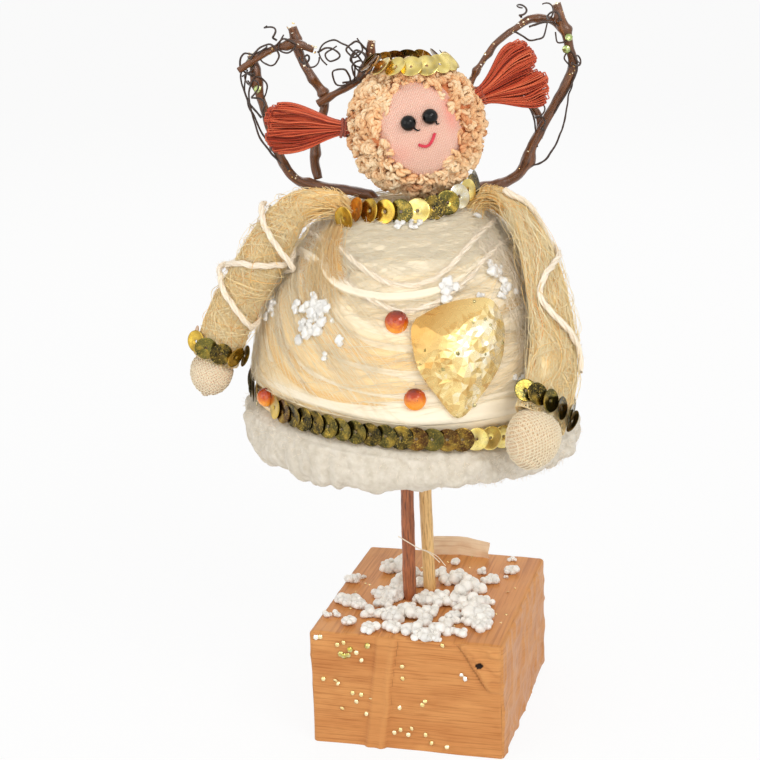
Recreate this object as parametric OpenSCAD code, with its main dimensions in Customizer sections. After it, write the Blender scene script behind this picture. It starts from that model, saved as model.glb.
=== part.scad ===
// Angel figurine: a wound dome body on two twig legs over a wrapped block,
// with a curly head, looped thread pigtails, bendable arms and twig wings.
// The figure faces -Y and +Z is up. The origin is on the floor, on the figure's axis.

/* [Base] */
// Width of the block, side to side
base_w = 58; // [48:1:70]
// Depth of the block, front to back
base_d = 68; // [56:1:82]
// Height of the block
base_h = 36; // [28:1:44]
// Turn of the block under the figure, seen from above
base_turn = -16; // [-30:1:30]
// Radius of the block's upright corners
base_corner = 3; // [1:0.5:6]
// Thickness of the wrapping film
film_t = 0.5; // [0.3:0.1:0.9]
// Width of the loose film end behind the block
flap_w = 20; // [12:1:26]
// Height of the loose film end
flap_h = 6; // [4:0.5:10]
// Radius of the largest snow crumb
crumb_r = 1.9; // [1:0.1:2.3]
// Snow crumbs heaped round the feet
crumb_count = 70; // [20:1:90]

/* [Legs] */
// Free length of the legs, from block to body
leg_len = 52; // [40:1:64]
// Diameter of each leg
leg_d = 4; // [3:0.1:5]
// Depth of each leg's hole in the block
leg_in_base = 16; // [10:1:22]
// Depth of each leg's hole in the body
leg_in_body = 24; // [14:1:34]

/* [Body] */
// Radius of the wound dome at its widest
dome_r = 46.5; // [38:0.5:56]
// Height of the dome's half ellipse over its widest line
dome_h = 62; // [51:1:75]
// How far the skirt that the snow hem surrounds stands in from the dome's widest line
skirt_in = 7.5; // [6.5:0.5:10]
// Height of the skirt under the widest line
skirt_h = 12; // [9:0.5:16]
// Radius of the flat top under the head
neck_flat_r = 17; // [16:0.5:20]
// Thickness of the wound sisal ribbon
ribbon_t = 1.2; // [0.8:0.1:2]
// Turns of the ribbon from hem to neck
ribbon_turns = 8; // [6:1:10]
// Gap between two turns of the ribbon
ribbon_gap = 0.6; // [0.5:0.1:1]
// Diameter of the soft yarn
yarn_d = 1.7; // [1.2:0.1:2]
// Slope of the hem in degrees along the dome, higher at the figure's right hand
hem_tilt = 4.4; // [0:0.2:6]
// Height of the snow hem
fluff_h = 9.4; // [6:0.2:11]
// Width of the snow hem, from the skirt outwards
fluff_w = 9.4; // [7:0.2:11]

/* [Trim] */
// Diameter of a sequin
sequin_d = 6; // [5:0.1:7]
// Thickness of a sequin
sequin_t = 0.3; // [0.2:0.05:0.35]
// Diameter of the thread hole
sequin_hole = 1; // [0.6:0.1:1.4]
// Step from one strung sequin to the next
sequin_step = 4.2; // [4:0.1:5.2]
// Diameter of the largest amber button
button_d = 6.5; // [5:0.1:8]
// Height of the amber buttons
button_h = 3.2; // [2:0.1:4]
// Width of the foil heart
heart_w = 26.5; // [18:0.5:28]
// Height of the foil heart
heart_h = 32; // [26:0.5:36]
// Thickness of the foil heart
heart_t = 7; // [4:0.5:9]

/* [Head] */
// Radius of the stuffed ball in the head
ball_r = 16; // [13:0.5:19]
// Thickness of the hair's backing cloth
hood_t = 2.4; // [1.6:0.1:3]
// Ring radius of one hair curl, to the middle of its strand
curl_r = 2; // [1.6:0.1:2.2]
// Strand diameter of the hair curls
curl_d = 1.3; // [0.8:0.1:1.5]
// Places for curls spread over a head of the usual size; a smaller head has fewer
curl_places = 120; // [60:1:124]
// Width of the face
face_w = 20.8; // [18:0.2:25]
// Height of the face
face_h = 25.4; // [20:0.2:28]
// Diameter of the bead eyes
eye_d = 4.3; // [3.5:0.1:5.5]
// Gap between the body's flat top and the hair
neck_gap = 2.5; // [1.5:0.1:6]
// Diameter of the peg in the neck
neck_d = 5; // [3:0.5:7]
// Ring radius of the halo's string of sequins
halo_r = 11.3; // [10:0.1:13]
// Reach of the right pigtail from the head to its loops' ends
right_pigtail_len = 22; // [16:0.5:28]
// Reach of the left pigtail
left_pigtail_len = 16; // [13:0.5:22]
// Half spread of the right pigtail's fan at its loops
right_pigtail_fan = 6.4; // [5:0.1:8]
// Half spread of the left pigtail's fan
left_pigtail_fan = 7.6; // [6:0.1:9]
// Diameter of the pigtail thread
thread_d = 1; // [0.8:0.05:1.1]

/* [Arms] */
// Half width of an arm at its widest
arm_w = 6.6; // [5:0.1:7]
// Half thickness of an arm
arm_t = 4; // [3:0.1:4.6]
// Diameter of the wire in the arms
wire_d = 1.6; // [1:0.1:2]
// Radius of the figure's right hand, on the left in front view
right_hand_r = 6.4; // [5:0.1:8]
// Radius of the figure's left hand
left_hand_r = 7.4; // [6:0.1:8.5]

/* [Wings] */
// Diameter of the wing twigs at their roots
twig_d = 3.2; // [2.4:0.1:3.6]
// Diameter of the dry tendrils
tendril_d = 0.9; // [0.6:0.1:1.1]

/* [Hidden] */

// Clearance of a peg in its hole, clearance under a glued piece, and room left at the end of a hole
fit = 0.1;
seat = 0.15;
end_gap = 0.5;
// Room under the ribbon for its flat steps
core_gap = 0.6;
// A length past the whole figure, for cuts
cut = 200;
// Side step of the block from the figure's axis
base_x = 4;
// Turn from one spread piece to the next, so that no two line up
spread_turn = 137.5;

// Levels and the dome's ellipse
dome_z = base_h + leg_len + skirt_h;
skirt_r = dome_r - skirt_in;
neck_b = acos(neck_flat_r / dome_r);
top_z = dome_z + dome_h * sin(neck_b);
core_r = dome_r - ribbon_t - core_gap;
core_h = dome_h - ribbon_t - core_gap;
core_top = top_z - ribbon_t;

// Vector helpers
function unit(v) = v / norm(v);
function carried(v, t) = unit(v - t * (v * t));
function clamp01(x) = min(1, max(0, x));
function ease(x) = let (c = clamp01(x)) c * c * (3 - 2 * c);
function waver(i, k) = sin(i * spread_turn * k + 61 * k);
function last(list) = list[len(list) - 1];

// A smooth path through hand-chosen points, n steps to a span
function bend(a, b, c, d, t) = (2 * b + (c - a) * t
    + (2 * a - 5 * b + 4 * c - d) * t * t + (3 * b - a - 3 * c + d) * t * t * t) / 2;
function smooth(p, n) = let (m = len(p) - 1) concat(
    [for (i = [0:m - 1], k = [0:n - 1]) bend(p[max(i - 1, 0)], p[i], p[i + 1], p[min(i + 2, m)], k / n)],
    [p[m]]);
function looped(p, n) = let (m = len(p)) [for (i = [0:m - 1], k = [0:n - 1])
    bend(p[(i + m - 1) % m], p[i], p[(i + 1) % m], p[(i + 2) % m], k / n)];
function tangents(p) = let (m = len(p) - 1) [for (i = [0:m]) unit(p[min(i + 1, m)] - p[max(i - 1, 0)])];
function carry_all(t, v0) = [
    for (i = 0, v = carried(v0, t[0]); i < len(t); i = i + 1, v = i < len(t) ? carried(v, t[i]) : v) v];

// Rings of points along a path, and the closed skins over them
function disc_pts(a, b, n) = [for (k = [0:n - 1]) [a * cos(360 * k / n), b * sin(360 * k / n)]];
function ring(c, u, v, outline) = [for (q = outline) c + u * q[0] + v * q[1]];
function tube(path, radii, n, v0 = [0, 1, 0.1]) =
    let (t = tangents(path), v = carry_all(t, v0))
    [for (i = [0:len(path) - 1])
        ring(path[i], cross(v[i], t[i]), v[i], disc_pts(radii[i], radii[i], n))];
function even(path, r) = [for (p = path) r];
function taper(path, r0, r1) = let (m = len(path) - 1) [for (i = [0:m]) r0 + (r1 - r0) * i / m];
function middle(pts) = [for (q = pts) 1] * pts / len(pts);
function side_faces(at, m, n, close) = [
    for (i = [0:close ? m - 1 : m - 2], k = [0:n - 1], half = [0, 1])
        let (a = at + i * n, b = at + ((i + 1) % m) * n, l = (k + 1) % n)
        half == 0 ? [a + k, b + k, b + l] : [a + k, b + l, a + l]];
function cap_faces(hub, at, n, top) = [
    for (k = [0:n - 1]) let (l = (k + 1) % n) top ? [hub, at + l, at + k] : [hub, at + k, at + l]];

// Strands of equal ring counts as one skin of separate closed shells
module skins(strands) {
    m = len(strands[0]);
    n = len(strands[0][0]);
    size = m * n;
    hubs = len(strands) * size;
    pts = concat(
        [for (s = strands, r = s, p = r) p],
        [for (s = strands, e = [0, m - 1]) middle(s[e])]);
    polyhedron(pts, [
        for (j = [0:len(strands) - 1])
            each concat(
                side_faces(j * size, m, n, false),
                cap_faces(hubs + 2 * j, j * size, n, false),
                cap_faces(hubs + 2 * j + 1, (j + 1) * size - n, n, true))], convexity = 10);
}

module skin(rings) skins([rings]);

// A skin that closes on itself, as a wreath does
module wreath(rings) {
    m = len(rings);
    n = len(rings[0]);
    polyhedron([for (r = rings, p = r) p], side_faces(0, m, n, true), convexity = 10);
}

// A skin with a channel through it from end to end
module sleeve(outer, inner) {
    m = len(outer);
    n = len(outer[0]);
    far = m * n;
    end = (m - 1) * n;
    polyhedron([for (s = [outer, inner], r = s, p = r) p], concat(
        side_faces(0, m, n, false),
        [for (f = side_faces(far, m, n, false)) [f[0], f[2], f[1]]],
        [for (k = [0:n - 1], half = [0, 1]) let (l = (k + 1) % n)
            half == 0 ? [k, l, far + l] : [k, far + l, far + k]],
        [for (k = [0:n - 1], half = [0, 1]) let (l = (k + 1) % n)
            half == 0 ? [end + k, far + end + l, end + l] : [end + k, far + end + k, far + end + l]]),
        convexity = 10);
}

// Places its child with x along x, and z along z as near as x lets it
module placed(c, x, z) {
    ux = unit(x);
    uz = carried(z, ux);
    uy = cross(uz, ux);
    multmatrix([
        [ux[0], uy[0], uz[0], c[0]],
        [ux[1], uy[1], uz[1], c[1]],
        [ux[2], uy[2], uz[2], c[2]],
        [0, 0, 0, 1]])
        children();
}

// A straight round rod between two points
module rod(a, b, d)
    placed(a, carried([1, 0.3, 0.2], unit(b - a)), b - a)
        cylinder(d = d, h = norm(b - a), $fn = 32);

// All that lies past a plane through c with normal d
module past(c, x, d) placed(c, x, d) translate([-cut / 2, -cut / 2, 0]) cube([cut, cut, cut]);

// A point on the dome: az turns from the front to the figure's left, b climbs from the widest line
function around(az) = [sin(az), -cos(az), 0];
function beside(az) = [cos(az), sin(az), 0];
function dome_n(az, b) = unit(around(az) * cos(b) / dome_r + [0, 0, sin(b) / dome_h]);
function dome_pt(az, b, off) =
    around(az) * dome_r * cos(b) + [0, 0, dome_z + dome_h * sin(b)] + dome_n(az, b) * off;
function dome_path(list) = [for (q = list) dome_pt(q[0], q[1], q[2])];
// Millimetres to one degree of climb
function dome_slope(b) = norm([dome_r * sin(b), dome_h * cos(b)]) * PI / 180;

// The hem's line on the dome, and the step from it down to the ribbon's lowest line
hem_mid = 2;
hem_under = 0.4;
hem_drop = (sequin_d / 2 + hem_under) / dome_slope(0);
function hem_b(az) = hem_mid - hem_tilt * sin(az);

// One flat sequin, and a sequin that leans so that each lies over the next
module sequin() {
    rotate_extrude($fn = 48)
        translate([sequin_hole / 2, -sequin_t / 2])
            square([(sequin_d - sequin_hole) / 2, sequin_t]);
}
module strung(c, n, t, lean) placed(c, t * cos(lean) + n * sin(lean), n) sequin();

// Base
module at_base() translate([base_x, 0, 0]) rotate(base_turn) children();

module round_plan(w, d, r) {
    square([w - 2 * r, d], center = true);
    square([w, d - 2 * r], center = true);
    for (x = [-1, 1], y = [-1, 1])
        translate([x * (w / 2 - r), y * (d / 2 - r)]) circle(r, $fn = 48);
}

// Each leg runs from its foot in the block to its head in the body, spread by its own thickness
block_top = base_h - film_t - fit;
twig_foot = [-0.7 - leg_d / 2, -3.5, block_top];
twig_head = [-0.2 - leg_d / 2, -1.2, dome_z - skirt_h];
stick_foot = [1.7 + leg_d / 2, 3.5, block_top];
stick_head = [0.8 + leg_d / 2, 1.2, dome_z - skirt_h];
function leg_low(foot, head, depth) = foot - unit(head - foot) * depth;
function leg_high(foot, head, depth) = head + unit(head - foot) * depth;

module leg_holes(d) {
    rod(leg_low(twig_foot, twig_head, leg_in_base), leg_high(twig_foot, twig_head, leg_in_body), d);
    rod(leg_low(stick_foot, stick_head, leg_in_base), leg_high(stick_foot, stick_head, leg_in_body), d);
}

module base_block() color("#c9a074") difference() {
    at_base() linear_extrude(block_top)
        round_plan(base_w - 2 * film_t - 2 * fit, base_d - 2 * film_t - 2 * fit, base_corner - film_t);
    leg_holes(leg_d + 2 * fit);
}

// The film covers top and sides, with a leaning seam down the front and a corner fold beside it
film_edge = 1;
seam_w = 3;
seam_lean = 3;
fold_w = 11;
fold_h = 13;
module film_ply(x, outline)
    translate([x, -base_d / 2, 0]) rotate([90, 0, 0]) linear_extrude(film_t) polygon(outline);
module base_film() color("#d28c5f") difference() {
    at_base() {
        difference() {
            translate([0, 0, seat]) linear_extrude(base_h - seat)
                round_plan(base_w, base_d, base_corner);
            translate([0, 0, -film_edge]) linear_extrude(block_top + fit + film_edge)
                round_plan(base_w - 2 * film_t, base_d - 2 * film_t, base_corner - film_t);
        }
        film_ply(0, [
            [-seam_w - seam_lean, film_edge], [-seam_lean, film_edge],
            [0, base_h - film_edge], [-seam_w, base_h - film_edge]]);
        film_ply(base_w / 2 - base_corner, [
            [0, base_h - film_edge], [-fold_w, base_h - film_edge], [0, base_h - film_edge - fold_h]]);
    }
    leg_holes(leg_d + 2 * fit);
}

// The loose end of the film stands behind the block as a shallow curl
flap_x = 2;
flap_curl = 26;
flap_span = flap_w / flap_curl * 180 / PI;
module base_flap() color("#ecdcc0") at_base()
    translate([flap_x, base_d / 2 - base_corner - flap_curl, base_h + seat])
        rotate(90 - flap_span / 2) rotate_extrude(angle = flap_span, $fn = 96)
            translate([flap_curl, 0]) square([film_t, flap_h]);

// Foam crumbs with flat feet, spread in a widening spiral and kept off the legs
crumb_sit = 0.6;
crumb_vary = 0.2;
snow_reach = 25;
snow_shift = [-3, -6];
snow_clear = 0.4;
module crumb(r) rotate_extrude($fn = 24) intersection() {
    translate([0, r * crumb_sit]) circle(r, $fn = 24);
    square([2 * r, 2 * r]);
}
function crumb_at(i) = let (a = i * spread_turn, reach = snow_reach * sqrt((i + 3) / crumb_count))
    [base_x + snow_shift[0] + reach * cos(a), snow_shift[1] + reach * sin(a), base_h + seat];
function crumb_size(i) = crumb_r * (1 - crumb_vary + crumb_vary * waver(i, 1));
function off_leg(p, foot) =
    norm([p[0] - foot[0], p[1] - foot[1]]) > leg_d / 2 + crumb_r + snow_clear;
function on_block(p) = let (q = [p[0] - base_x, p[1]], c = cos(base_turn), s = sin(base_turn))
    abs(q[0] * c + q[1] * s) < base_w / 2 - crumb_r && abs(q[1] * c - q[0] * s) < base_d / 2 - crumb_r;
function crumb_free(p) = off_leg(p, twig_foot) && off_leg(p, stick_foot) && on_block(p);
module base_snow() color("white")
    for (i = [0:crumb_count - 1])
        if (crumb_free(crumb_at(i))) translate(crumb_at(i)) crumb(crumb_size(i));

// Legs: a bark twig with knots, and a peeled stick with a slight waist
leg_plain = 1;
leg_rings = 10;
twig_swell = 0.35;
stick_swell = -0.15;
function leg_bump(k) = k % 4 == 2 ? 1 : -0.4;
module leg(foot, head, swell) {
    total = norm(head - foot) + leg_in_base + leg_in_body - 2 * end_gap;
    low = leg_in_base - end_gap + leg_plain;
    high = total - leg_in_body + end_gap - leg_plain;
    placed(leg_low(foot, head, leg_in_base - end_gap), carried([1, 0, 0], unit(head - foot)), head - foot)
        rotate_extrude($fn = 32) polygon(concat(
            [[0, total], [0, 0], [leg_d / 2, 0], [leg_d / 2, low]],
            [for (k = [1:leg_rings])
                [leg_d / 2 + swell * leg_bump(k), low + k / (leg_rings + 1) * (high - low)]],
            [[leg_d / 2, high], [leg_d / 2, total]]));
}
module leg_twig() color("#6b452c") leg(twig_foot, twig_head, twig_swell);
module leg_stick() color("#c8a55f") leg(stick_foot, stick_head, stick_swell);

// Body: a foam dome, cut off along the hem, over a narrower skirt
core_first = -12;
core_step = 4.5;
hem_slope = atan(dome_h * sin(hem_tilt) / dome_r);
module body_core() color("#f0e6c8") difference() {
    union() {
        intersection() {
            translate([0, 0, dome_z]) rotate_extrude($fn = 96) polygon(concat(
                [[0, -skirt_h]],
                [for (b = [core_first:core_step:neck_b]) [core_r * cos(b), core_h * sin(b)]],
                [[neck_flat_r, core_top - dome_z], [0, core_top - dome_z]]));
            past([0, 0, dome_z + dome_h * sin(hem_mid) - hem_drop * dome_slope(0)],
                [cos(hem_slope), 0, -sin(hem_slope)], [0, 0, 1]);
        }
        translate([0, 0, dome_z - skirt_h]) cylinder(r = skirt_r, h = 2 * skirt_h, $fn = 96);
    }
    leg_holes(leg_d + 2 * fit);
    translate([neck_x, neck_y, core_top - neck_in_body])
        cylinder(d = neck_d + 2 * fit, h = cut, $fn = 48);
    twig_hole(right_root);
    twig_hole(left_root);
    rod(wire_end(right_path[0]), right_path[0], wire_d + 2 * fit);
    rod(wire_end(left_path[0]), left_path[0], wire_d + 2 * fit);
}

// The ribbon starts as a point at the hem, climbs a turn at a time and runs out under the collar
ribbon_in = 0.42;
ribbon_top = acos((neck_flat_r + ribbon_in) / dome_r);
ribbon_low = hem_mid - hem_drop;
ribbon_climb = ribbon_top - ribbon_low;
ribbon_pitch = ribbon_climb / ribbon_turns;
ribbon_start = 60;
ribbon_rings = 24;
ribbon_steps = (ribbon_turns + 1) * ribbon_rings - 2 * ribbon_start * ribbon_rings / 360;
ribbon_slack = hem_tilt / ribbon_turns;
ribbon_soft = 0.12;
function ribbon_az(i) = ribbon_start + i * 360 / ribbon_rings;
function ribbon_edge(i, up) =
    let (az = ribbon_az(i),
         climb = (az / 360 - 1 + (up ? 1 : 0)) * ribbon_pitch,
         lift = clamp01(climb / ribbon_climb),
         b = ribbon_low + ribbon_climb * lift - hem_tilt * sin(az + 180) * (1 - lift))
    up ? b - (ribbon_slack + ribbon_gap / dome_slope(b)) : b;
function ribbon_ring(i) =
    let (az = ribbon_az(i) + 180, t = ribbon_t,
         lo = ribbon_edge(i, false), hi = ribbon_edge(i, true), soft = (hi - lo) * ribbon_soft)
    [dome_pt(az, lo, -t / 2), dome_pt(az, lo + soft, -t), dome_pt(az, hi - soft, -t),
     dome_pt(az, hi, -t / 2), dome_pt(az, hi - soft, 0), dome_pt(az, lo + soft, 0)];
module body_ribbon() color("#ead9b0") skin([for (i = [0:ribbon_steps]) ribbon_ring(i)]);

// The yarn sags across the front, to just over the upper button, and lies higher round the sides and back
upper_az = -6;
upper_b = 32;
yarn_turns = 2;
yarn_rings = 24;
yarn_level = 49;
yarn_clear = 3.2;
yarn_sag = yarn_level - upper_b - yarn_clear / dome_slope(upper_b);
yarn_rise = 7;
yarn_lift = 0.5;
function yarn_b(az, climb) = yarn_level - yarn_sag * pow(max(0, cos(az)), 6) + climb;
body_yarn_path = [for (i = [0:yarn_turns * yarn_rings]) let (turn = i / yarn_rings, az = 180 + 360 * turn)
    dome_pt(az, yarn_b(az, yarn_rise * (turn - 0.5)), yarn_d / 2 + yarn_lift)];
module body_yarn() color("#f6f1e6") skin(tube(body_yarn_path, even(body_yarn_path, yarn_d / 2), 6));

// Snow bits on the front of the dome
snow_spots = [[-46, 25], [-33, 21], [-28, 26], [30, 37], [-52, 33], [62, 62]];
module body_snow() color("white")
    for (i = [0:len(snow_spots) - 1]) let (q = snow_spots[i])
        placed(dome_pt(q[0], q[1], seat), beside(q[0]), dome_n(q[0], q[1])) crumb(crumb_size(i));

// The snow hem: a lumpy wreath of eight sides round the skirt, just under the ribbon
fluff_rings = 60;
fluff_sides = 8;
fluff_turn = 180 / fluff_sides;
fluff_vary = 0.1;
fluff_fine = 0.06;
fluff_in = 0.6;
fluff_under = 0.45;
function fluff_drop(a, h) = sin(a) > 0
    ? fluff_h / 2 * (1 - sin(a) / cos(fluff_turn))
    : fluff_h / 2 - h / 2 * sin(a);
function fluff_ring(i) =
    let (az = i * 360 / fluff_rings,
         high = dome_pt(az, hem_b(az) - hem_drop, 0)[2] - fluff_under,
         lump = 1 + fluff_vary * waver(i, 1) + fluff_fine * waver(i, 3))
    [for (k = [0:fluff_sides - 1]) let (a = 360 * k / fluff_sides + fluff_turn)
        around(az) * (skirt_r + fluff_in + fluff_w * lump / 2 * (1 + cos(a) / cos(fluff_turn)))
        + [0, 0, high - fluff_drop(a, fluff_h * lump)]];
module hem_fluff() color("#fbfaf6") wreath([for (i = [0:fluff_rings - 1]) fluff_ring(i)]);

// Amber buttons: low domes with a rounded rim. The side one takes its place in the hem's string
button_rim = 0.5;
button_lift = 0.35;
side_az = -63;
side_b = 7;
side_share = 0.85;
module button(az, b, share) {
    r = button_d * share / 2;
    placed(dome_pt(az, b, button_lift), beside(az), dome_n(az, b))
        rotate_extrude($fn = 48) polygon(concat(
            [[0, 0], [r - button_rim, 0], [r, button_rim]],
            [for (a = [15:15:90]) [r * cos(a), button_rim + (button_h - button_rim) * sin(a)]]));
}
module button_upper() color("#be5014") button(upper_az, upper_b, 1);
module button_lower() color("#be5014") button(0, 12, 0.94);
module button_side() color("#c8461e") button(side_az, side_b, side_share);

// Strings of sequins
hem_lean = 10;
hem_lift = 0.45;
hem_off = sequin_d / 2 * sin(hem_lean) + sequin_t + hem_lift;
hem_count = floor(2 * PI * (dome_r + hem_off) / sequin_step);
side_room = ((sequin_d + button_d * side_share) / 2 + seat) / (dome_r + hem_off) * 180 / PI;
function turn_between(a, b) = abs((a - b + 540) % 360 - 180);
module hem_sequins() color("#6f6a32")
    for (i = [0:hem_count - 1]) let (az = i * 360 / hem_count)
        if (turn_between(az, side_az) > side_room)
            strung(dome_pt(az, hem_b(az), hem_off), dome_n(az, hem_b(az)), beside(az), hem_lean);

// The collar stands on the shoulders like a ruff, and its left end climbs over the arm's wire
collar_r = 19.2;
collar_lean = 20;
collar_lap = 14;
collar_first = -44;
collar_last = 88;
collar_lift = 0.3;
collar_climb = 4.3;
collar_climb_from = 4;
collar_climb_span = 80;
collar_extra = 0.4;
collar_step = (sequin_step + collar_extra) / (collar_r + 1) * 180 / PI;
function collar_rise(az) = collar_climb * ease((az - collar_climb_from) / collar_climb_span);
function collar_at(az) = dome_pt(az, acos(collar_r / dome_r), 0)
    + (sequin_d / 2 + collar_lift) * (around(az) * sin(collar_lean) + [0, 0, cos(collar_lean)])
    + [0, 0, collar_rise(az)];
function collar_out(az) = around(az) * cos(collar_lean) - [0, 0, sin(collar_lean)];
module collar_sequins() color("#8a7a3a")
    for (az = [collar_first:collar_step:collar_last])
        strung(collar_at(az), collar_out(az), beside(az), collar_lap);

// A loose sequin standing on the right shoulder
shoulder_az = -48;
shoulder_b = 62;
module shoulder_sequin() color("#c8aa46")
    placed(dome_pt(shoulder_az, shoulder_b, sequin_d / 2 + seat), beside(shoulder_az), around(shoulder_az))
        sequin();

// The foil heart: a puffed leaf with no notch, thick in the middle and rolled over at its rim. Its outline runs
// down the left side first, in hundredths of its width and height
heart_az = 16.5;
heart_b = 20.5;
heart_layers = 6;
heart_low = -70;
heart_high = 80;
heart_puff = 0.6;
heart_rim = [
    [-42, 41], [-48, 33], [-49, 19], [-45, -3], [-30, -25], [-9, -47], [19, -30], [43, -6], [51, 16], [51, 34],
    [41, 50], [17, 53], [-13, 50]];
heart_outline = [for (q = looped(heart_rim, 2)) [q[0] * heart_w, q[1] * heart_h] / 100];
function heart_ring(k) =
    let (a = heart_low + (heart_high - heart_low) * k / heart_layers,
         s = pow(cos(a), heart_puff),
         z = heart_t * (sin(a) - sin(heart_low)) / (sin(heart_high) - sin(heart_low)))
    [for (q = heart_outline) [q[0] * s, q[1] * s, z]];
module foil_heart() color("#ebc364")
    placed(dome_pt(heart_az, heart_b, button_lift), beside(heart_az), dome_n(heart_az, heart_b))
        skin([for (k = [heart_layers:-1:0]) heart_ring(k)]);

// Head: its own frame looks along -Y, tipped to the figure's right and turned a little
hood_r = ball_r + fit + hood_t;
hair_r = hood_r + seat + curl_d;
neck_x = 3.7;
neck_y = -3;
neck_in_body = 18;
neck_in_ball = 10;
neck_room = 2;
head_c = [neck_x, neck_y, top_z + neck_gap + hair_r];
head_tip = -14;
head_turn = 5;
neck_end = head_c[2] - ball_r + neck_in_ball;
module at_head() translate(head_c) rotate([0, head_tip, head_turn]) children();
module neck_rod(low, high, d) translate([neck_x, neck_y, low]) cylinder(d = d, h = high - low, $fn = 48);

module neck_peg() color("#d8c090")
    neck_rod(core_top - neck_in_body + end_gap, neck_end - end_gap, neck_d);

module head_ball() color("#efe3d6") difference() {
    translate(head_c) sphere(ball_r, $fn = 64);
    neck_rod(top_z, neck_end, neck_d + 2 * fit);
}

// The face's outline, and the same outline with clearance
face_up = 1.5;
module face_plan(gap) at_head() rotate([90, 0, 0]) linear_extrude(cut)
    translate([0, face_up]) polygon(disc_pts(face_w / 2 + gap, face_h / 2 + gap, 40));

module hair_hood() color("#cda578") difference() {
    translate(head_c) sphere(hood_r, $fn = 64);
    translate(head_c) sphere(ball_r + fit, $fn = 64);
    face_plan(seat);
    neck_rod(top_z, head_c[2] - ball_r + neck_room, neck_d + 2 * neck_room);
}

face_proud = 0.5;
face_r = hood_r + face_proud;
eye_up = 15;
eye_apart = 9.5;
eye_proud = 0.1;
function face_dir(side, up) = [sin(side) * cos(up), -cos(side) * cos(up), sin(up)];
module at_eye(side) at_head() translate(face_dir(side, eye_up) * (face_r + eye_d * eye_proud)) children();

module face_cloth() color("#f5d2be") difference() {
    intersection() {
        translate(head_c) sphere(face_r, $fn = 64);
        face_plan(0);
    }
    translate(head_c) sphere(ball_r + fit, $fn = 64);
    for (side = [-eye_apart, eye_apart]) at_eye(side) sphere(d = eye_d + 2 * fit, $fn = 32);
}

module eye_right() color("#141214") at_eye(-eye_apart) sphere(d = eye_d, $fn = 32);
module eye_left() color("#141214") at_eye(eye_apart) sphere(d = eye_d, $fn = 32);

// The mouth: one stitched thread in a lopsided smile, in degrees over the face
mouth_d = 0.9;
mouth_lift = 0.08;
mouth_from = -6;
mouth_span = 15;
mouth_level = -4;
mouth_dip = 4;
mouth_tilt = 5;
mouth_steps = 10;
mouth_path = [for (k = [0:mouth_steps]) let (x = k / mouth_steps)
    face_dir(mouth_from + mouth_span * x, mouth_level - mouth_dip * sin(180 * x) + mouth_tilt * x * x)
    * (face_r + mouth_d / 2 + mouth_lift)];
module mouth_thread() color("#e13246")
    at_head() skin(tube(mouth_path, even(mouth_path, mouth_d / 2), 6, [0, 0, 1]));

// Pigtails: each is one thread, laid in layers of loops that fan out from a tied waist.
// The right one lies level, the left one points up. A pigtail is given as [length, fan]
right_pig = [right_pigtail_len, right_pigtail_fan];
left_pig = [left_pigtail_len, left_pigtail_fan];
right_pig_turn = -88;
left_pig_turn = 66;
tie_d = 1.2;
tie_room = 0.4;
pig_strands = 4;
pig_layers = 3;
pig_gap = thread_d + 0.5;
pig_waist = pig_gap * (pig_strands - 1) / 2;
pig_start = hood_r + 0.4;
pig_near = 1.3;
pig_tie = 3;
pig_far = 0.88;
pig_open = 0.7;
pig_deep = 0.8;
pig_steps = 4;
function pig_spread(x, p) = pig_waist + (p[1] - pig_waist) * ease((x * p[0] - pig_tie) / (p[0] * pig_open));
function pig_lane(j) = -1 + 2 * j / (pig_strands - 1);
function pig_point(x, lane, layer, p) = [
    pig_start + x * p[0],
    (layer - (pig_layers - 1) / 2) * pig_gap * (1 + pig_deep * x),
    lane * pig_spread(x, p)];
function pig_end(tip, p) = tip ? pig_far : pig_near / p[0];
// One run along a lane, outwards or back
function pig_run(j, layer, outward, p) = [for (k = [0:pig_steps])
    let (s = k / pig_steps, from = pig_end(!outward, p), to = pig_end(outward, p))
    pig_point(from + (to - from) * s, pig_lane(j), layer, p)];
// One round turn between two neighbouring lanes, at the tip or at the tie
function pig_turn(j0, j1, layer, tip, p) =
    let (x = pig_end(tip, p),
         a = pig_point(x, pig_lane(j0), layer, p), b = pig_point(x, pig_lane(j1), layer, p),
         c = (a + b) / 2, h = norm(b - a) / 2, s = tip ? 1 : -1)
    [for (k = [1:3]) c + (a - c) * cos(45 * k) + [s * h * sin(45 * k), 0, 0]];
function pig_layer(layer, p) = let (flip = layer % 2 == 1) [
    for (i = [0:pig_strands - 1])
        let (j = flip ? pig_strands - 1 - i : i, next = flip ? j - 1 : j + 1)
        each concat(pig_run(j, layer, i % 2 == 0, p),
            i < pig_strands - 1 ? pig_turn(j, next, layer, i % 2 == 0, p) : [])];
// The climb from one layer to the next, behind the tie
function pig_climb(layer, p) =
    let (x = pig_end(false, p), lane = layer % 2 == 0 ? 1 : -1,
         a = pig_point(x, lane, layer, p), b = pig_point(x, lane, layer + 1, p))
    [(a + b) / 2 - [pig_gap / 2, 0, 0]];
function pig_path(p) = [for (layer = [0:pig_layers - 1])
    each concat(pig_layer(layer, p), layer < pig_layers - 1 ? pig_climb(layer, p) : [])];
tie_r = norm([pig_waist, pig_gap * pig_layers / 2]) + (thread_d + tie_d) / 2 + tie_room;
module at_pig(turn) translate(head_c) rotate([0, turn - 90, 0]) children();
module pigtail(p) skin(tube(pig_path(p), even(pig_path(p), thread_d / 2), 6, [0, 1, 0.2]));
module pigtail_tie() rotate([0, 90, 0]) translate([0, 0, pig_start + pig_tie])
    rotate_extrude($fn = 48) translate([tie_r, 0]) circle(d = tie_d, $fn = 24);
module pigtail_right() color("#a54632") at_pig(right_pig_turn) pigtail(right_pig);
module pigtail_left() color("#a54632") at_pig(left_pig_turn) pigtail(left_pig);
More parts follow.
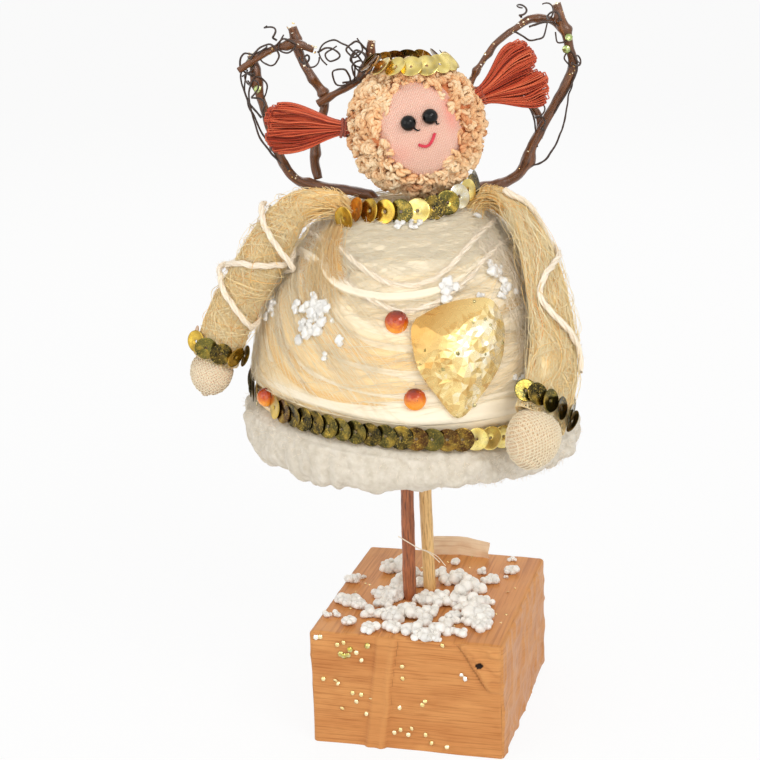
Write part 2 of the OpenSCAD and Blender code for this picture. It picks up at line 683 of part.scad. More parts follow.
module pigtail_tie_right() color("#5a2a20") at_pig(right_pig_turn) pigtail_tie();
module pigtail_tie_left() color("#5a2a20") at_pig(left_pig_turn) pigtail_tie();

// Hair curls: rings of strand spread over the hood, kept off the face, the ties and the neck
curl_low = -0.86;
curl_room = 1;
tie_turn = 16;
usual_hood_r = 18.5;
curl_count = round(curl_places * pow(hood_r / usual_hood_r, 2));
function spread_dir(i) = let (z = 1 - 2 * (i + 0.5) / curl_count, r = sqrt(1 - z * z), a = i * spread_turn)
    [r * cos(a), r * sin(a), z];
function apart(a, b) = acos(max(-1, min(1, a * b)));
function pig_dir(turn) = [sin(turn), 0, cos(turn)];
function turned(v) =
    let (x = v[0] * cos(head_tip) + v[2] * sin(head_tip),
         z = v[2] * cos(head_tip) - v[0] * sin(head_tip),
         c = cos(head_turn), s = sin(head_turn))
    [x * c - v[1] * s, x * s + v[1] * c, z];
face_axis = turned(face_dir(0, 4));
curl_span = asin((curl_r + curl_d / 2) / hood_r);
function curl_free(v) =
    apart(v, face_axis) > asin((face_h / 2) / hood_r) + curl_span + curl_room
    && apart(v, pig_dir(right_pig_turn)) > tie_turn + curl_span
    && apart(v, pig_dir(left_pig_turn)) > tie_turn + curl_span
    && v[2] > curl_low;
curl_out = sqrt(pow(hood_r + seat + curl_d / 2, 2) - curl_r * curl_r);
module hair_curls() color("#c89a6c")
    for (i = [0:curl_count - 1]) let (v = spread_dir(i))
        if (curl_free(v)) placed(head_c + v * curl_out, carried([0.3, 1, 0.2], v), v)
            rotate_extrude($fn = 48) translate([curl_r, 0]) circle(d = curl_d, $fn = 24);

// Halo: a ring of sequins that lies on the crown of the hair
halo_lift = 1.2;
halo_lean = 14;
halo_out = hair_r + halo_lift;
halo_b = asin(halo_r / halo_out);
halo_count = floor(2 * PI * halo_r / sequin_step);
function halo_n(az) = around(az) * sin(halo_b) + [0, 0, cos(halo_b)];
module halo_sequins() color("#e1cd8c")
    for (i = [0:halo_count - 1]) let (az = i * 360 / halo_count)
        strung(head_c + halo_n(az) * halo_out, halo_n(az), beside(az), halo_lean);

// Wings: bent twigs behind the shoulders.
// Points are side, depth past wing_y, and height over the flat top
wing_gap = 2.2;
wing_y = neck_y + hair_r + wing_gap;
wing_steps = 3;
function wing(list) = [for (q = list) [q[0], q[1] + wing_y, q[2] + top_z]];
right_root = [[-3, 7.5, core_top - 7], [-10, 12, core_top + 2.2]];
left_root = [[4, 7.5, core_top - 7], [11, 12, core_top + 2.2]];
module twig_hole(root) rod(root[0] - unit(root[1] - root[0]) * end_gap, root[1], twig_d + 4 * fit);
module twig(path, share0, share1) skin(tube(path, taper(path, twig_d * share0 / 2, twig_d * share1 / 2), 8));
function rooted(root, list) = concat([root[0]], smooth(concat([root[1]], wing(list)), wing_steps));
right_outer_path = rooted(right_root, [
    [-22, -2, 2.5], [-31, 0, 4.5], [-36, 0, 11], [-40, 0, 25], [-42, 0, 34], [-43, 0, 42]]);
right_inner_path = smooth(wing([
    [-25.5, 1.8, 4.5], [-26.5, 2.6, 11], [-24, 2.8, 21], [-22.5, 2.8, 28.5],
    [-26, 2.6, 35], [-29, 2.6, 41], [-31, 2.6, 49.5]]), wing_steps);
right_top_path = smooth(wing([
    [-47, -2.4, 38], [-42, -2.4, 41], [-36, -0.4, 44], [-30, -0.3, 44.5], [-25, 0, 43]]), wing_steps);
right_side_path = smooth(wing([
    [-24.5, 0.4, 27], [-18, 0.2, 30.5], [-12, 0, 34], [-9, 0, 39], [-8, 0, 45]]), wing_steps);
left_outer_path = rooted(left_root, [
    [23, -2, 0.8], [30, 0, 1.5], [35, 0, 5], [41, 0, 17],
    [48, 0, 29], [50.5, 0, 36], [48.5, 0, 46], [46, 0, 53.5]]);
left_top_path = smooth(wing([
    [50, 2.8, 43.5], [45, 2.7, 48.5], [38, 2.2, 49], [28, 1, 42], [22, 0.4, 34], [18, 0.2, 28]]), wing_steps);
left_inner_path = smooth(wing([
    [41, 2.9, 14], [41, 2.8, 20], [37, 2.8, 25], [29, 2.9, 27], [21, 3, 29], [14, 3.4, 30]]), wing_steps);
module right_wing_outer() color("#78462d") twig(right_outer_path, 1, 0.62);
module right_wing_inner() color("#784a30") twig(right_inner_path, 0.8, 0.55);
module right_wing_top() color("#7c5034") twig(right_top_path, 0.5, 0.6);
module right_wing_side() color("#6e452c") twig(right_side_path, 0.6, 0.35);
module left_wing_outer() color("#78462d") twig(left_outer_path, 1, 0.6);
module left_wing_top() color("#6e422b") twig(left_top_path, 0.72, 0.5);
module left_wing_inner() color("#7c5034") twig(left_inner_path, 0.72, 0.5);

// Tendrils: dry curls that open as they go. Each is a foot beside a twig, an axis, reach, opening and turns
tendril_steps = 18;
tendril_core = 0.15;
function tendril(foot, axis, reach, open, turns) =
    let (n = carried([0.2, 1, 0.3], axis), m = cross(axis, n))
    [for (i = [0:tendril_steps])
        let (s = i / tendril_steps, a = 360 * turns * s, r = open * (tendril_core + (1 - tendril_core) * s))
        foot + axis * reach * s + n * (r * cos(a) - open * tendril_core) + m * r * sin(a)];
function tendril_tubes(list) = [
    for (q = list) let (p = tendril(wing([q[0]])[0], unit(q[1]), q[2], q[3], q[4]))
        tube(p, taper(p, tendril_d / 2, tendril_d / 3), 5)];
right_tendrils = [
    [[-39.2, -2.2, 24], [-0.4, -0.3, 1], 12, 2.2, 2],
    [[-42.5, -2, 37.5], [-0.6, -0.6, -0.5], 5, 2, 1.5],
    [[-29.2, 0.8, 40.5], [0.6, -0.9, 0], 8, 2.2, 2],
    [[-35.5, -0.2, 46], [-0.4, -0.3, 1], 6, 1.8, 1.5]];
left_tendrils = [
    [[42, -2.2, 17], [-0.3, -0.5, 1], 9, 2.2, 2],
    [[50.4, -2, 36], [0.5, -0.5, 0.4], 4, 2, 1.5],
    [[47.4, -1.8, 49], [-0.6, -0.5, 0.4], 8, 2.4, 2],
    [[36, 1.2, 49.8], [0.1, -0.6, 1], 5, 2, 1.5],
    [[37.5, 0.9, 25], [-0.8, -0.5, 0.4], 6, 2, 1.5]];
module right_wing_tendrils() color("#32281f") skins(tendril_tubes(right_tendrils));
module left_wing_tendrils() color("#32281f") skins(tendril_tubes(left_tendrils));

// Arms: sisal pads round a wire, from the shoulder to the wrist.
// Points are az, b and distance off the dome. The figure's right arm is round and hangs clear
// of the body, its left arm is broad and lies over the front of the dome
right_arm_w = arm_w;
right_arm_t = arm_t * 1.3;
left_arm_w = arm_w * 1.25;
left_arm_t = arm_t;
right_path = smooth(dome_path([
    [-63, 67, 5.5], [-71, 59, 10.5], [-72.5, 51, 10.5], [-73.5, 41, 9.6],
    [-75.5, 31.5, 10], [-77, 22.3, 11.4], [-78.2, 14.6, 12.4]]), 2);
left_path = smooth(dome_path([
    [80, 65, 6.2], [78, 60, 8], [72, 52, 7.6], [63, 42, 7.4],
    [54.5, 30, 7.6], [48.5, 20, 8.6], [41.5, 11.5, 10.8], [35.5, 6, 12.4]]), 2);
right_face = [for (p = right_path) [-0.25, -1, 0]];
left_face = [for (p = left_path) unit([p[0], p[1], 0]) + [0, 0, 0.35]];
function arm_frame(path, face) = let (t = tangents(path)) [
    for (i = [0:len(path) - 1]) let (v = carried(face[i], t[i])) [path[i], cross(v, t[i]), v]];
right_frame = arm_frame(right_path, right_face);
left_frame = arm_frame(left_path, left_face);
// Share of the full arm size along the arm: a narrow shoulder that fills out towards a loose cuff
arm_top = 0.42;
arm_swell = 0.5;
arm_cuff = 0.08;
arm_sides = 12;
function arm_fill(s) = arm_top + arm_swell * ease(2 * s) + arm_cuff * s;
function arm_rings(frame, w, t) = let (m = len(frame) - 1) [
    for (i = [0:m]) let (f = frame[i], k = arm_fill(i / m))
        ring(f[0], f[1], f[2], disc_pts(w * k, t * k, arm_sides))];
function channel(frame, r) = [for (f = frame) ring(f[0], f[1], f[2], disc_pts(r, r, arm_sides))];
module arm_pad(frame, w, t) sleeve(arm_rings(frame, w, t), channel(frame, wire_d / 2 + 2 * fit));
module right_arm_sisal() color("#d7b982") arm_pad(right_frame, right_arm_w, right_arm_t);
module left_arm_sisal() color("#f0d296") arm_pad(left_frame, left_arm_w, left_arm_t);

// The wire lies in the arm's channel and runs on into the hand; a short end of it is set in the body
wire_in_hand = 6;
wire_in_body = 6;
wire_bend = 1.1;
wire_r = 13.5;
function end_dir(path) = last(tangents(path));
function wire_run(path) = concat(path, [last(path) + end_dir(path) * wire_in_hand]);
module arm_wire(path) skin(tube(wire_run(path), even(wire_run(path), wire_d / 2), 6));
module right_arm_wire() color("#8c8c8c") arm_wire(right_path);
module left_arm_wire() color("#8c8c8c") arm_wire(left_path);
function wire_out(s) = unit([s[0], s[1], 0]) * wire_r + [0, 0, core_top];
function wire_dir(s) = unit(s - wire_out(s));
function wire_end(s) = wire_out(s) - wire_dir(s) * wire_in_body;
module shoulder_wire(s)
    rod(wire_end(s) + wire_dir(s) * end_gap, s - wire_dir(s) * wire_bend, wire_d);
module right_shoulder_wire() color("#8c8c8c") shoulder_wire(right_path[0]);
module left_shoulder_wire() color("#8c8c8c") shoulder_wire(left_path[0]);

// Hands: cloth balls, flat where they meet the cuff
hand_sink = 1.3;
module hand(path, frame, r) {
    d = end_dir(path);
    w = last(path);
    difference() {
        translate(w + d * (r - hand_sink + seat)) sphere(r, $fn = 64);
        past(w + d * seat, last(frame)[1], -d);
        rod(w, w + d * (wire_in_hand + end_gap), wire_d + 2 * fit);
    }
}
module right_hand() color("#e6bfae") hand(right_path, right_frame, right_hand_r);
module left_hand() color("#dcc8a5") hand(left_path, left_frame, left_hand_r);

// Cuffs: a part string of sequins over the outer side of each wrist
cuff_back = 2.8;
cuff_lean = 22;
cuff_lift = 1.2;
cuff_count = 6;
right_cuff_from = 0;
left_cuff_from = 20;
module cuff(path, frame, w, t, from) {
    f = last(frame);
    d = end_dir(path);
    for (i = [0:cuff_count - 1])
        let (a = from + i * (180 - 2 * from) / (cuff_count - 1),
             n = unit(f[1] * cos(a) / w + f[2] * sin(a) / t))
        strung(f[0] - d * cuff_back + f[1] * w * cos(a) + f[2] * t * sin(a) + n * cuff_lift, n,
            cross(d, n), cuff_lean);
}
module right_cuff_sequins() color("#8a5a24")
    cuff(right_path, right_frame, right_arm_w, right_arm_t, right_cuff_from);
module left_cuff_sequins() color("#5a4a24")
    cuff(left_path, left_frame, left_arm_w, left_arm_t, left_cuff_from);

// Arm yarn: wound down the right arm and back up, and laid in a zigzag over the left one
function arm_at(frame, s) =
    let (m = len(frame) - 1, x = clamp01(s) * m, i = min(floor(x), m - 1), k = x - i)
    [frame[i][0] + (frame[i + 1][0] - frame[i][0]) * k,
     unit(frame[i][1] + (frame[i + 1][1] - frame[i][1]) * k),
     unit(frame[i][2] + (frame[i + 1][2] - frame[i][2]) * k)];
function on_arm(frame, s, a, w, t, off) =
    let (f = arm_at(frame, s), k = arm_fill(s), n = unit(f[1] * cos(a) / w + f[2] * sin(a) / t))
    f[0] + f[1] * (w * k * cos(a)) + f[2] * (t * k * sin(a)) + n * off;
right_yarn_from = 0.3;
right_yarn_to = 0.78;
right_yarn_laps = 1.5;
right_yarn_turn = 200;
right_yarn_steps = 30;
left_yarn_from = 0.16;
left_yarn_to = 0.78;
left_yarn_swing = 62;
left_yarn_laps = 1.5;
left_yarn_steps = 34;
yarn_off = yarn_d / 2 + 0.35;
// Where the way back crosses the way down it rides over it
yarn_over = yarn_d + 0.55;
over_from = 0.12;
function ride_over(x) =
    yarn_over * pow(cos(360 * right_yarn_laps * x), 6) * ease((x - over_from) / over_from);
function right_yarn(x, turns, off) = on_arm(right_frame,
    right_yarn_from + (right_yarn_to - right_yarn_from) * x,
    right_yarn_turn + 360 * right_yarn_laps * turns, right_arm_w, right_arm_t, yarn_off + off);
right_yarn_path = concat(
    [for (i = [0:right_yarn_steps]) let (x = i / right_yarn_steps) right_yarn(x, x, 0)],
    [for (i = [1:right_yarn_steps]) let (x = i / right_yarn_steps) right_yarn(1 - x, 1 + x, ride_over(x))]);
left_yarn_path = [for (i = [0:left_yarn_steps]) let (x = i / left_yarn_steps)
    on_arm(left_frame, left_yarn_from + (left_yarn_to - left_yarn_from) * x,
        90 + left_yarn_swing * cos(360 * left_yarn_laps * x), left_arm_w, left_arm_t, yarn_off)];
module arm_yarn(path) skin(tube(path, even(path, yarn_d / 2), 6));
module right_arm_yarn() color("#f2eadb") arm_yarn(right_yarn_path);
module left_arm_yarn() color("#f2eadb") arm_yarn(left_yarn_path);

// Least gap of each wound piece to itself, between points more than a few steps apart
function self_gap(p, skip, d) = min([
    for (i = [0:len(p) - 1], j = [i + skip:1:len(p) - 1]) norm(p[i] - p[j])]) - d;
ribbon_gaps = [for (i = [0:ribbon_steps - ribbon_rings])
    norm(dome_pt(0, ribbon_edge(i + ribbon_rings, false), 0) - dome_pt(0, ribbon_edge(i, true), 0))];
echo(ribbon_self_gap = min(ribbon_gaps));
echo(body_yarn_self_gap = self_gap(body_yarn_path, 12, yarn_d));
echo(right_arm_yarn_self_gap = self_gap(right_yarn_path, 9, yarn_d));
echo(left_arm_yarn_self_gap = self_gap(left_yarn_path, 9, yarn_d));
echo(right_pigtail_self_gap = self_gap(pig_path(right_pig), 5, thread_d));
echo(left_pigtail_self_gap = self_gap(pig_path(left_pig), 5, thread_d));

base_block();
base_film();
base_flap();
base_snow();
leg_twig();
leg_stick();
body_core();
body_ribbon();
body_yarn();
body_snow();
hem_fluff();
hem_sequins();
collar_sequins();
shoulder_sequin();
button_upper();
button_lower();
button_side();
foil_heart();
neck_peg();
head_ball();
hair_hood();
hair_curls();
face_cloth();
eye_right();
eye_left();
mouth_thread();
halo_sequins();
pigtail_right();
pigtail_left();
pigtail_tie_right();
pigtail_tie_left();
right_wing_outer();
right_wing_inner();
right_wing_top();
right_wing_side();
right_wing_tendrils();
left_wing_outer();
left_wing_inner();
left_wing_top();
left_wing_tendrils();
right_shoulder_wire();
left_shoulder_wire();
right_arm_sisal();
right_arm_wire();
right_arm_yarn();
right_hand();
right_cuff_sequins();
left_arm_sisal();
left_arm_wire();
left_arm_yarn();
left_hand();
left_cuff_sequins();
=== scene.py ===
"""Looks of the sisal angel figurine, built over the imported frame.

Lengths are in millimetres until make() scales them."""

import bmesh
import bpy
import numpy as np
from mathutils import Matrix, Vector
from mathutils.geometry import delaunay_2d_cdt


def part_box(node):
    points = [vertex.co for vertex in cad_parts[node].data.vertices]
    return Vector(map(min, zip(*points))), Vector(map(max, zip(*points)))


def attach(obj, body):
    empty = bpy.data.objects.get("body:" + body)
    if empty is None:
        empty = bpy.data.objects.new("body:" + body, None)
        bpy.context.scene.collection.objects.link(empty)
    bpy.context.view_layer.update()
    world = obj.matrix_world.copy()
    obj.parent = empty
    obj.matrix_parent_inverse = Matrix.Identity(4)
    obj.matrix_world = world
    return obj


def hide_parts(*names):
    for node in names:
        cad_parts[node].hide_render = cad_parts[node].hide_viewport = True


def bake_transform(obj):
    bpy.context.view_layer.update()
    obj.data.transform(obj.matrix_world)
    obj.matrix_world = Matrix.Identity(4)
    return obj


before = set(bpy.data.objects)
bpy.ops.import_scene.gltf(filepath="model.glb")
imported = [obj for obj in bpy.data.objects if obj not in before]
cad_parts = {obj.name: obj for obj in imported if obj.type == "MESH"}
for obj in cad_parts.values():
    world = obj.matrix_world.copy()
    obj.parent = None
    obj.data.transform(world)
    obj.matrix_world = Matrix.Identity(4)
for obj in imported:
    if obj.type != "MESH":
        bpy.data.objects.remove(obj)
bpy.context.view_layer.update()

MM = 0.001
Z = np.array([0.0, 0.0, 1.0])

# Sizes that repeat the CAD model's
BASE_X, BASE_TURN = 4.0, -16.0
BASE_HALF = np.array([29.0, 34.0])
BASE_H = 36.0
DOME_R, DOME_H, DOME_Z = 46.5, 62.0, 100.0
TOP_Z = 157.71
SKIRT_R = 39.0
HEM_MID, HEM_TILT, HEM_DROP = 2.0, 4.4, 3.142
HEAD_C = np.array([3.7, -3.0, 180.16])
HEAD_TIP, HEAD_TURN = -14.0, 5.0
HOOD_R, FACE_R = 18.5, 19.0
EYE_SIDE, EYE_UP = 9.5, 15
YARN_D = 1.7
WING_Y = 19.15


# Vectors and noise

def unit(v):
    v = np.asarray(v, float)
    return v / np.maximum(np.linalg.norm(v, axis=-1, keepdims=True), 1e-12)


def sind(a):
    return np.sin(np.radians(a))


def cosd(a):
    return np.cos(np.radians(a))


def ease(x):
    c = np.clip(x, 0, 1)
    return c * c * (3 - 2 * c)


def rng(seed):
    return np.random.default_rng(seed)


def scatter(i, seed):
    """A number from 0 to 1 for each whole grid point."""
    h = (i[..., 0] * 374761393 + i[..., 1] * 668265263 + i[..., 2] * 1440662683 + seed * 974634777) & 0xFFFFFFFF
    h = ((h ^ (h >> 13)) * 1274126177) & 0xFFFFFFFF
    return ((h ^ (h >> 16)) & 0xFFFF) / 65535.0


def noise(p, size, seed=0):
    """Smooth noise from -1 to 1 with lumps about size apart."""
    q = np.asarray(p, float) / size
    i = np.floor(q).astype(np.int64)
    f = q - i
    f = f * f * (3 - 2 * f)
    out = 0.0
    for c in range(8):
        d = np.array([c & 1, c >> 1 & 1, c >> 2 & 1])
        out = out + np.prod(np.where(d, f, 1 - f), axis=-1) * scatter(i + d, seed)
    return 2 * out - 1


def smooth(points, n):
    """The CAD model's smooth path through points, n steps to a span."""
    p = np.asarray(points, float)
    m = len(p) - 1
    out = []
    for i in range(m):
        a, b, c, d = p[max(i - 1, 0)], p[i], p[i + 1], p[min(i + 2, m)]
        t = (np.arange(n) / n)[:, None]
        out.append((2 * b + (c - a) * t + (2 * a - 5 * b + 4 * c - d) * t**2
                    + (3 * b - a - 3 * c + d) * t**3) / 2)
    return np.concatenate(out + [p[m:]])


def along(p):
    """Length along a path to each of its points."""
    return np.concatenate([[0], np.cumsum(np.linalg.norm(np.diff(p, axis=0), axis=1))])


def resample(p, step):
    s = along(p)
    n = max(int(round(s[-1] / step)), 2)
    at = np.linspace(0, s[-1], n + 1)
    return np.stack([np.interp(at, s, p[:, k]) for k in range(3)], 1)


def frames(P):
    """Tangents and two carried normals along strands P of shape (strands, points, 3)."""
    T = unit(np.gradient(P, axis=1))
    start = np.where(np.abs(T[:, 0, 2:3]) < 0.9, Z, np.array([1.0, 0, 0]))
    u = unit(np.cross(T[:, 0], start))
    U = np.empty_like(P)
    for i in range(P.shape[1]):
        u = unit(u - T[:, i] * np.sum(u * T[:, i], axis=1, keepdims=True))
        U[:, i] = u
    return T, U, np.cross(T, U)


def wobble(p, size, seed, apart):
    """Three noises, one for each direction, at points p."""
    return np.stack([noise(p + apart * k, size, seed + k) for k in range(3)], -1)


def table(*columns):
    """Columns that broadcast, as the last axis of one array."""
    return np.stack(np.broadcast_arrays(*columns), -1)


def bell(x):
    return np.exp(-x**2)


def ring_of(sides):
    """Angles of the corners of a ring."""
    return 2 * np.pi * np.arange(sides) / sides


def axes(x, z):
    """Columns x, y and z of a frame with x along x and z as near z as x lets it."""
    ux = unit(x)
    uz = unit(z - ux * np.dot(z, ux))
    return np.stack([ux, np.cross(uz, ux), uz], 1)


# Places on the dome: az turns from the front to the figure's left, b climbs from the widest line

def around(az):
    return table(sind(az), -cosd(az), 0.0)


def beside(az):
    return table(cosd(az), sind(az), 0.0)


def dome_n(az, b):
    b = np.asarray(b, float)[..., None]
    return unit(around(az) * cosd(b) / DOME_R + Z * sind(b) / DOME_H)


def dome_pt(az, b, off=0.0):
    az, b, off = np.broadcast_arrays(np.asarray(az, float), np.asarray(b, float), np.asarray(off, float))
    return (around(az) * DOME_R * cosd(b)[..., None] + Z * (DOME_Z + DOME_H * sind(b))[..., None]
            + dome_n(az, b) * off[..., None])


def hem_b(az):
    return HEM_MID - HEM_TILT * sind(az)


def sweep(az, b, heading, span, n):
    """az and b along arcs that wind round the dome through (az, b), climbing by heading degrees there."""
    az, b, heading, span = (np.asarray(x, float)[:, None] for x in (az, b, heading, span))
    u0 = np.concatenate([sind(az) * cosd(b), -cosd(az) * cosd(b), sind(b)], 1)[:, None]
    east = np.concatenate([cosd(az), sind(az), 0 * az], 1)[:, None]
    north = np.concatenate([-sind(az) * sind(b), cosd(az) * sind(b), cosd(b)], 1)[:, None]
    h = heading[:, :, None]
    s = (span * np.linspace(-0.5, 0.5, n))[:, :, None]
    u = u0 * cosd(s) + (east * cosd(h) + north * sind(h)) * sind(s)
    return np.degrees(np.arctan2(u[..., 0], -u[..., 1])), np.degrees(np.arcsin(np.clip(u[..., 2], -1, 1)))


def at_base(p):
    """Points given in the block's own frame, as the block stands."""
    c, s = cosd(BASE_TURN), sind(BASE_TURN)
    p = np.asarray(p, float)
    return np.stack([p[..., 0] * c - p[..., 1] * s + BASE_X, p[..., 0] * s + p[..., 1] * c, p[..., 2]], -1)


def turned(v):
    """Directions given in the head's own frame, which looks along -Y."""
    v = np.asarray(v, float)
    x = v[..., 0] * cosd(HEAD_TIP) + v[..., 2] * sind(HEAD_TIP)
    z = v[..., 2] * cosd(HEAD_TIP) - v[..., 0] * sind(HEAD_TIP)
    c, s = cosd(HEAD_TURN), sind(HEAD_TURN)
    return np.stack([x * c - v[..., 1] * s, x * s + v[..., 1] * c, z], -1)


def face_dir(side, up):
    return table(sind(side) * cosd(up), -cosd(side) * cosd(up), sind(up))


# Meshes

class Shape:
    """The parts of one mesh. tint, flat and col become point attributes that the materials read."""

    def __init__(self):
        self.v, self.f, self.tint, self.flat, self.col, self.n = [], [], [], [], [], 0

    def add(self, v, f, tint=0.5, flat=None, col=None):
        v = np.asarray(v, float).reshape(-1, 3)
        self.v.append(v)
        self.f += [np.asarray(part) + self.n for part in (f if isinstance(f, list) else [f])]
        self.tint.append(np.broadcast_to(np.asarray(tint, float), (len(v),)))
        self.flat.append(v if flat is None else np.broadcast_to(flat, v.shape))
        self.col.append(np.broadcast_to((0.5, 0.5, 0.5) if col is None else col, v.shape))
        self.n += len(v)


def stand(name, data):
    """A new object in the scene."""
    ob = bpy.data.objects.new(name, data)
    bpy.context.scene.collection.objects.link(ob)
    return ob


def make(name, shape, material, body="figure", hides=(), flat_shaded=False):
    """One Blender piece from a shape, riding on a body and the CAD nodes that it stands for."""
    me = bpy.data.meshes.new(name)
    v = np.concatenate(shape.v) * MM
    sizes = np.concatenate([np.full(len(f), f.shape[1]) for f in shape.f])
    me.vertices.add(len(v))
    me.vertices.foreach_set("co", v.ravel())
    corners = np.concatenate([f.ravel() for f in shape.f]).astype(np.int32)
    me.loops.add(len(corners))
    me.loops.foreach_set("vertex_index", corners)
    me.polygons.add(len(sizes))
    me.polygons.foreach_set("loop_start", np.concatenate([[0], np.cumsum(sizes)[:-1]]).astype(np.int32))
    me.polygons.foreach_set("use_smooth", np.full(len(sizes), not flat_shaded))
    me.update(calc_edges=True)
    me.validate()
    me.attributes.new("tint", "FLOAT", "POINT").data.foreach_set("value", np.concatenate(shape.tint))
    flat = me.attributes.new("flat", "FLOAT_VECTOR", "POINT")
    flat.data.foreach_set("vector", np.concatenate(shape.flat).ravel())
    rgba = np.concatenate([np.concatenate(shape.col), np.ones((len(v), 1))], 1)
    me.attributes.new("col", "FLOAT_COLOR", "POINT").data.foreach_set("color", rgba.ravel())
    ob = stand(name, me)
    me.materials.append(material)
    if body:
        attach(ob, body)
    if hides:
        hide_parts(*hides)
    return ob


def grid_faces(rows, cols, close=False):
    """Quads over rows of cols points; close joins the last column to the first."""
    i = np.arange(rows - 1)[:, None]
    k = np.arange(cols if close else cols - 1)[None]
    l = (k + 1) % cols
    return np.stack([i * cols + k, i * cols + l, (i + 1) * cols + l, (i + 1) * cols + k], -1).reshape(-1, 4)


def add_tubes(shape, P, R, sides, tint):
    """Round strands along P (strands, points, 3) of radius R. flat is round, along and strand number."""
    P = np.asarray(P, float)
    S, N, _ = P.shape
    R = np.broadcast_to(np.asarray(R, float), (S, N))
    _, U, W = frames(P)
    a = ring_of(sides)
    spoke = np.cos(a)[:, None] * U[:, :, None] + np.sin(a)[:, None] * W[:, :, None]
    ring = P[:, :, None] + R[..., None, None] * spoke
    face = grid_faces(N, sides, close=True)
    f = (face[None] + (np.arange(S) * N * sides)[:, None, None]).reshape(-1, 4)
    steps = np.cumsum(np.linalg.norm(np.diff(P, axis=1), axis=2), axis=1)
    length = np.concatenate([np.zeros((S, 1)), steps], 1)
    flat = table(R[..., None] * (a - np.pi), length[..., None], (np.arange(S) * 7.31)[:, None, None])
    tint = np.asarray(tint, float)
    tint = np.broadcast_to(tint[:, None, None] if tint.ndim else tint, (S, N, sides)).reshape(-1)
    shape.add(ring.reshape(-1, 3), f, tint, flat.reshape(-1, 3))


SIDE_TINT, CUT_TINT = 0.5, 0.95


def add_rod(shape, path, radius, sides):
    """One closed strand with a ring radius at each point, (points,) or (points, sides), and flat cut ends."""
    P = np.asarray(path, float)[None]
    T, U, W = (x[0] for x in frames(P))
    P = P[0]
    a = ring_of(sides)
    n = len(P)
    R = np.broadcast_to(np.asarray(radius, float).reshape(n, -1), (n, sides))
    ring = P[:, None] + R[..., None] * (np.cos(a)[:, None] * U[:, None] + np.sin(a)[:, None] * W[:, None])
    flat = table(R.mean() * (a - np.pi), along(P)[:, None], 0.0)
    caps = [np.concatenate([P[e] + (ring[e] - P[e]) * 0.97, P[e:e + 1] + (T[e] if e else -T[e]) * 0.15])
            for e in (0, n - 1)]
    v = np.concatenate([ring.reshape(-1, 3), *caps])
    ends = 2 * (sides + 1)
    t = np.concatenate([np.full(n * sides, SIDE_TINT), np.full(ends, CUT_TINT)])
    fl = np.concatenate([flat.reshape(-1, 3), np.zeros((ends, 3))])
    k = np.arange(sides)
    l = (k + 1) % sides
    low, high = n * sides, n * sides + sides + 1
    tri = np.concatenate([np.stack([low + l, low + k, low + sides + 0 * k], 1),
                          np.stack([high + k, high + l, high + sides + 0 * k], 1)])
    join = np.concatenate([np.stack([l, k, low + k, low + l], 1),
                           np.stack([(n - 1) * sides + k, (n - 1) * sides + l, high + l, high + k], 1)])
    shape.add(v, [grid_faces(n, sides, close=True), join, tri], t, fl)


def ball(subdivisions):
    """Points and triangles of a unit ball."""
    bm = bmesh.new()
    bmesh.ops.create_icosphere(bm, subdivisions=subdivisions, radius=1.0)
    v = np.array([p.co[:] for p in bm.verts])
    f = np.array([[p.index for p in q.verts] for q in bm.faces])
    bm.free()
    return v, f


BALL_V, BALL_F = ball(3)


def add_blobs(shape, centres, radii, seed, rough=0.3, squash=0.85, floor=None, normal=None):
    """Lumpy foam bits, flattened along Z or along their normals; floor is the least height of a point."""
    r = rng(seed)
    for i, (c, size) in enumerate(zip(np.asarray(centres, float), radii)):
        turn = r.uniform(-9, 9, 3)
        lump = 1 + rough * noise(BALL_V + turn, 0.8, seed) + rough * 0.55 * noise(BALL_V + turn, 0.33, seed + 1)
        v = BALL_V * lump[:, None] * size
        if normal is None:
            v[:, 2] *= squash
        else:
            n = normal[i]
            v = v - (1 - squash) * (v @ n)[:, None] * n
        v = v + c
        if floor is not None:
            v[:, 2] = np.maximum(v[:, 2], floor)
        shape.add(v, BALL_F, r.uniform(0, 1))


def plied(path, d, plies=2, pitch=4.0, step=0.5, wander=0.0, seed=1):
    """Plies of a twisted yarn of diameter d along a path, and their radius."""
    p = resample(np.asarray(path, float), step)
    if wander:
        p = p + wander * wobble(p, 3.0, seed, 31)
    _, U, W = (x[0] for x in frames(p[None]))
    s = along(p)
    a = 2 * np.pi * (s[None, :] / pitch + np.arange(plies)[:, None] / plies)
    r = d / 2 * 0.5
    return p[None] + r * (np.cos(a)[..., None] * U[None] + np.sin(a)[..., None] * W[None]), d / 2 - r + 0.06


def fuzz(path, d, per_mm, reach, seed):
    """Short loose hairs that stand off a yarn."""
    p = resample(np.asarray(path, float), 0.4)
    _, U, W = (x[0] for x in frames(p[None]))
    r = rng(seed)
    count = int(along(p)[-1] * per_mm)
    i = r.integers(1, len(p) - 2, count)
    a = r.uniform(0, 2 * np.pi, count)
    out = np.cos(a)[:, None] * U[i] + np.sin(a)[:, None] * W[i]
    lie = unit(p[i + 1] - p[i - 1]) * r.choice([-1, 1], count)[:, None]
    t = np.linspace(0, 1, 5)[None, :, None]
    size = r.uniform(0.4, 1, count)[:, None, None] * reach
    bow = unit(np.cross(out, lie) + 0.4 * r.normal(size=(count, 3)))[:, None]
    return (p[i][:, None] + out[:, None] * (d * 0.3 + size * t) + lie[:, None] * size * 1.2 * t**2
            + bow * size * 0.5 * t**2)


